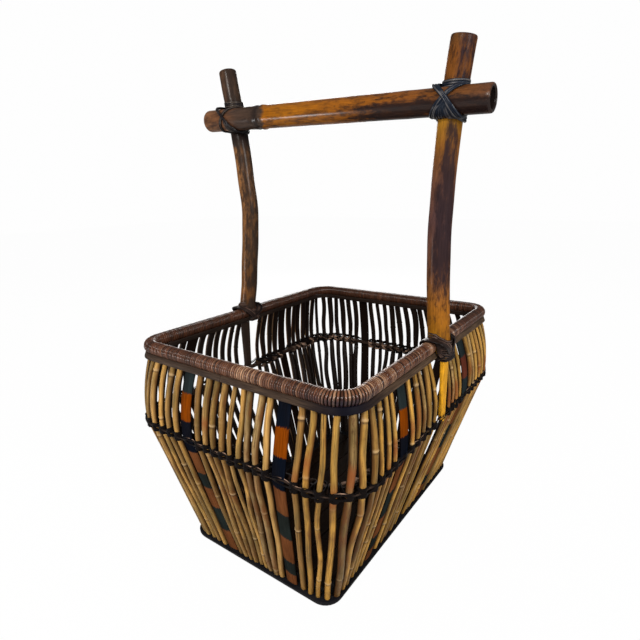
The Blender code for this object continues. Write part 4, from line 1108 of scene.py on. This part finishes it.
def crossbar_lashing(side, sizes, finish):
    """Lashing of the crossbar on a post: slanting loops both ways, loops that fill the lower angle, and collars
    above and below the bar."""
    post = POSTS[side]
    centre, _, axis, bar = crossing(post)
    thick, lift = sizes.strand_thickness, sizes.strand_thickness / 2
    count, filled, gap = (3, 9, 0.0) if side == "right" else (2, 4, 0.0030)
    shifts = 0.98 * sizes.strand_width * (np.arange(count) - (count - 1) / 2)
    above, below = bar + np.array([0.0004, 0.0028, 0.0052]) + gap, -bar - 0.0006
    collar = (centre + np.array([0.0, abs(BAR_LEFT[1]), 0.0]), axis, post["radius"] + lift)
    parts = (cross_loops(post, 1, lift, shifts, 0.0), cross_loops(post, -1, lift + 0.9 * thick, shifts, 0.0),
             cross_loops(post, -1, lift + 0.4 * thick, 0.0, 0.2 * np.arange(1, filled + 1)),
             collar_loops(*collar, above, 0.0, (0, -1, 0)), collar_loops(*collar, below, -0.0010, (0, -1, 0)))
    nodes = [f"lashing_crossbar_{side}_{kind}" for kind in ("under", "over", "collar")]
    return lashing_piece(side + "_bar_lashing", nodes, enumerate(parts, 1), sizes, finish)


def rim_lashing(side, sizes, finish):
    """Lashing of a post on the rim: loops crossing both ways over the tongue, loops down both flanks of the
    post's foot, and dipping collars round it."""
    post = POSTS[side]
    thick, lift, pitch = sizes.strand_thickness, sizes.strand_thickness / 2, 1.05 * sizes.strand_width
    foot = np.array([post["sign"] * float(post_x(post, RIM_Z)), 0.0, RIM_Z])
    heights = RIM_RADIUS + 0.0012 + pitch * np.arange(3)
    parts = ((11, rim_loops(post, 1, lift, 5, 1.25 * pitch)), (12, rim_loops(post, -1, lift + thick, 5, 1.25 * pitch)),
             (14, flank_loops(post, 1, lift + 0.5 * thick, 8)), (15, flank_loops(post, -1, lift + thick, 8)),
             (13, collar_loops(foot, UP, post["radius"] + lift, heights, 0.0085, (post["sign"], 0, 0))))
    nodes = [f"lashing_rim_{side}_{kind}" for kind in ("under", "over")]
    return lashing_piece(side + "_rim_lashing", nodes, parts, sizes, finish)


# Operators

def settings():
    """The scene's sizes and colours."""
    return bpy.context.scene.basket_sizes, bpy.context.scene.basket_colours


class BASKET_OT_canes(bpy.types.Operator):
    """Make the ten bays of upright wall canes"""
    bl_idname = "basket.canes"
    bl_label = "Wall canes"

    def execute(self, context):
        sizes, tones = settings()
        finish = cane_finish(tones)
        for seed, bay in enumerate(bay_list(), 100):
            cane_bay(bay, seed, sizes, finish)
        return {"FINISHED"}


class BASKET_OT_staves(bpy.types.Operator):
    """Make the eight flat staves"""
    bl_idname = "basket.staves"
    bl_label = "Staves"

    def execute(self, context):
        tones = settings()[1]
        grey = stave_finish("grey_stave", tones, tones.stave_orange, tones.stave_dark, tones.stave_grey)
        bright = stave_finish("stave", tones, tones.stave_orange, tones.stave_dark, tones.stave_dark)
        red = stave_finish("red_stave", tones, tones.stave_red, tones.stave_grey, tones.stave_grey)
        for side in SIDES:
            for order, usual in enumerate((grey, bright)):
                stave_piece(side, order, red if (side, order) in RED_STAVES else usual)
        return {"FINISHED"}


class BASKET_OT_base(bpy.types.Operator):
    """Make the base hoop and finish the floor"""
    bl_idname = "basket.base"
    bl_label = "Base and floor"

    def execute(self, context):
        black = plain_finish("base_hoop", (0.004, 0.004, 0.005), (0.016, 0.015, 0.016), 0.38, 0.0002)
        middle = BASE_HOOP_HEIGHT / 2
        ring_band("base_hoop", "base_band", ["base_band_outer", "base_band_inner"], black, wall(middle) - BASE_HOOP_IN,
                  middle + BASE_HOOP_LIFT, BASE_HOOP_HEIGHT, BASE_HOOP_DEPTH, BASE_LEAN)
        clad("floor")
        return {"FINISHED"}


class BASKET_OT_waist(bpy.types.Operator):
    """Make the waist hoop and the ties that hold the canes to it"""
    bl_idname = "basket.waist"
    bl_label = "Waist hoop and ties"

    def execute(self, context):
        waist_hoop(plain_finish("hoop", (0.010, 0.006, 0.005), (0.045, 0.026, 0.018), 0.5))
        waist_ties(settings()[0], thread_finish())
        return {"FINISHED"}


class BASKET_OT_rim(bpy.types.Operator):
    """Make the wound rim and its two flat bands, and finish the rim's core"""
    bl_idname = "basket.rim"
    bl_label = "Rim"

    def execute(self, context):
        sizes, tones = settings()
        rim_winding(sizes, rim_finish(tones))
        brown = plain_finish("rim_band", (0.024, 0.015, 0.010), (0.110, 0.070, 0.044), 0.45, 0.0002)
        # Painted shade: the inner band takes darker tones than the outer one, for the shade inside the rim
        dark = plain_finish("shaded_inner_band", (0.010, 0.007, 0.006), (0.030, 0.019, 0.014), 0.5, 0.0002)
        middle, away = wall(BAND_Z), BAND_CLEAR + BAND_THICKNESS / 2
        size = (BAND_Z, BAND_HEIGHT, BAND_THICKNESS, BAND_LEAN)
        seam = 0.75 * float(ring_length(middle + away)) + SEAM_X
        ring_band("outer_rim_band", "rim_band", ["rim_band_outer"], brown, middle + away, *size, seam)
        ring_band("inner_rim_band", "rim_band", ["rim_band_inner"], dark, middle - away, *size)
        clad("rim_core")
        return {"FINISHED"}


class BASKET_OT_handle(bpy.types.Operator):
    """Make the two posts and the crossbar"""
    bl_idname = "basket.handle"
    bl_label = "Posts and crossbar"

    def execute(self, context):
        tones = settings()[1]
        near = pole_finish("near_pole", tones, 2, 0.17, 0.56, NEAR_POLE, (0.016, 0.010, 0.012), 0.40, 0.04)
        far = pole_finish("far_pole", tones, 2, 0.17, 0.58, FAR_POLE, (0.020, 0.013, 0.010), 0.38, 0.12)
        cross = pole_finish("cross_pole", tones, 0, -0.181, 0.193, CROSS_POLE, (0.010, 0.006, 0.006), 0.30, 0.28)
        post_piece("right", near)
        post_piece("left", far)
        crossbar_piece(cross)
        return {"FINISHED"}


class BASKET_OT_lashings(bpy.types.Operator):
    """Make the lashings of the crossbar on the posts and of the posts on the rim"""
    bl_idname = "basket.lashings"
    bl_label = "Lashings"

    def execute(self, context):
        sizes, tones = settings()
        # The third tone of each lashing finish is its painted highlight
        black = lashing_finish("lashing", tones.lashing, (0.010, 0.015, 0.026), (0.085, 0.080, 0.080), 0.10)
        umber = lashing_finish("far_lashing", (0.004, 0.003, 0.004), (0.014, 0.011, 0.012), (0.060, 0.045, 0.034), 0.10)
        brown = lashing_finish("rim_lashing", (0.006, 0.004, 0.004), (0.026, 0.015, 0.012), (0.100, 0.060, 0.045), 0.08)
        for side, finish in (("right", black), ("left", umber)):
            crossbar_lashing(side, sizes, finish)
            rim_lashing(side, sizes, brown)
        return {"FINISHED"}


def add_object(name, data):
    """Add an object to the scene."""
    item = bpy.data.objects.new(name, data)
    bpy.context.scene.collection.objects.link(item)
    return item


def pale_floor(tone):
    """The stage's floor, which glows white where the camera sees it and is a pale surface to all else."""
    mesh = bpy.data.meshes.new("pale_floor")
    corners = [(x * FLOOR_REACH, y * FLOOR_REACH, 0) for x, y in ((-1, -1), (1, -1), (1, 1), (-1, 1))]
    mesh.from_pydata(corners, [], [(0, 1, 2, 3)])
    finish = bpy.data.materials.new("pale_floor")
    finish.use_nodes = True
    nodes = Nodes(finish.node_tree)
    shader = nodes.tree.nodes["Principled BSDF"]
    nodes.put((*tone, 1.0), shader.inputs["Base Color"])
    nodes.put(0.8, shader.inputs["Roughness"])
    glow = nodes.add("Emission", {"Color": (1.0, 1.0, 1.0, 1.0), "Strength": 1.0})
    seen = nodes.times(nodes.add("LightPath").outputs["Is Camera Ray"], 0.98)
    both = nodes.add("MixShader", {0: seen, 1: shader.outputs[0], 2: glow.outputs[0]})
    nodes.put(both.outputs[0], nodes.tree.nodes["Material Output"].inputs["Surface"])
    mesh.materials.append(finish)
    add_object("pale_floor", mesh)


def studio_world():
    """White surroundings, dimmer as a light than as the camera sees them."""
    world = bpy.data.worlds.new("studio")
    world.use_nodes = True
    nodes = Nodes(world.node_tree)
    back = world.node_tree.nodes["Background"].inputs
    seen = nodes.add("LightPath").outputs["Is Camera Ray"]
    nodes.put(nodes.spread(seen, 0.0, 1.0, 0.28, 0.99), back["Strength"])
    nodes.put((1.0, 1.0, 1.0, 1.0), back["Color"])
    bpy.context.scene.world = world


def soft_light(name, place, aim, size, power, tone):
    """Square area light at a place, aimed at a point."""
    light = bpy.data.lights.new(name, "AREA")
    light.size = size
    light.energy = power
    light.color = tone
    item = add_object(name, light)
    item.location = place
    item.rotation_mode = "QUATERNION"
    item.rotation_quaternion = (Vector(place) - Vector(aim)).to_track_quat("Z", "Y")


class BASKET_OT_stage(bpy.types.Operator):
    """Make the pale floor, the soft lights and the camera"""
    bl_idname = "basket.stage"
    bl_label = "Stage"

    def execute(self, context):
        pale_floor(settings()[1].stage)
        studio_world()
        soft_light("key", (0.25, -1.9, 1.35), MIDDLE, 0.55, 42.0, (1.0, 0.97, 0.93))
        soft_light("fill", (1.6, -0.5, 0.9), MIDDLE, 0.6, 29.0, (1.0, 0.98, 0.95))
        soft_light("back", (-1.1, 1.5, 0.8), MIDDLE, 0.7, 22.0, (1.0, 0.98, 0.96))
        soft_light("low", (-0.62, -0.70, 0.16), HANDLE_MIDDLE, 0.16, 3.0, (1.0, 1.0, 1.0))
        view = bpy.data.cameras.new("view")
        view.lens = CAMERA_LENS
        view.sensor_width = SENSOR
        view.clip_start = 0.01
        camera = add_object("view", view)
        camera.location = CAMERA_PLACE
        camera.rotation_euler = CAMERA_TURN
        scene = bpy.context.scene
        scene.camera = camera
        scene.view_settings.view_transform = "Standard"
        return {"FINISHED"}


OPERATORS = (BASKET_OT_canes, BASKET_OT_staves, BASKET_OT_base, BASKET_OT_waist, BASKET_OT_rim, BASKET_OT_handle,
             BASKET_OT_lashings, BASKET_OT_stage)


class BASKET_PT_panel(bpy.types.Panel):
    """Sidebar panel that lists the basket's pieces, sizes and colours"""
    bl_idname = "BASKET_PT_panel"
    bl_label = "Bamboo basket"
    bl_space_type = "VIEW_3D"
    bl_region_type = "UI"
    bl_category = "Basket"

    def draw(self, context):
        """List the operators, then every size and colour."""
        for operator in OPERATORS:
            self.layout.operator(operator.bl_idname)
        for group in settings():
            for name in group.__annotations__:
                self.layout.prop(group, name)


CLASSES = (BasketSizes, BasketColours, *OPERATORS, BASKET_PT_panel)


def register():
    """Add the classes and the scene's sizes and colours."""
    for item in CLASSES:
        bpy.utils.register_class(item)
    bpy.types.Scene.basket_sizes = bpy.props.PointerProperty(type=BasketSizes)
    bpy.types.Scene.basket_colours = bpy.props.PointerProperty(type=BasketColours)


def unregister():
    """Take away what register added."""
    del bpy.types.Scene.basket_colours
    del bpy.types.Scene.basket_sizes
    for item in reversed(CLASSES):
        bpy.utils.unregister_class(item)


def main():
    """Register the add-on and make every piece."""
    register()
    for operator in OPERATORS:
        group, name = operator.bl_idname.split(".")
        getattr(getattr(bpy.ops, group), name)()


if __name__ == "__main__":
    main()
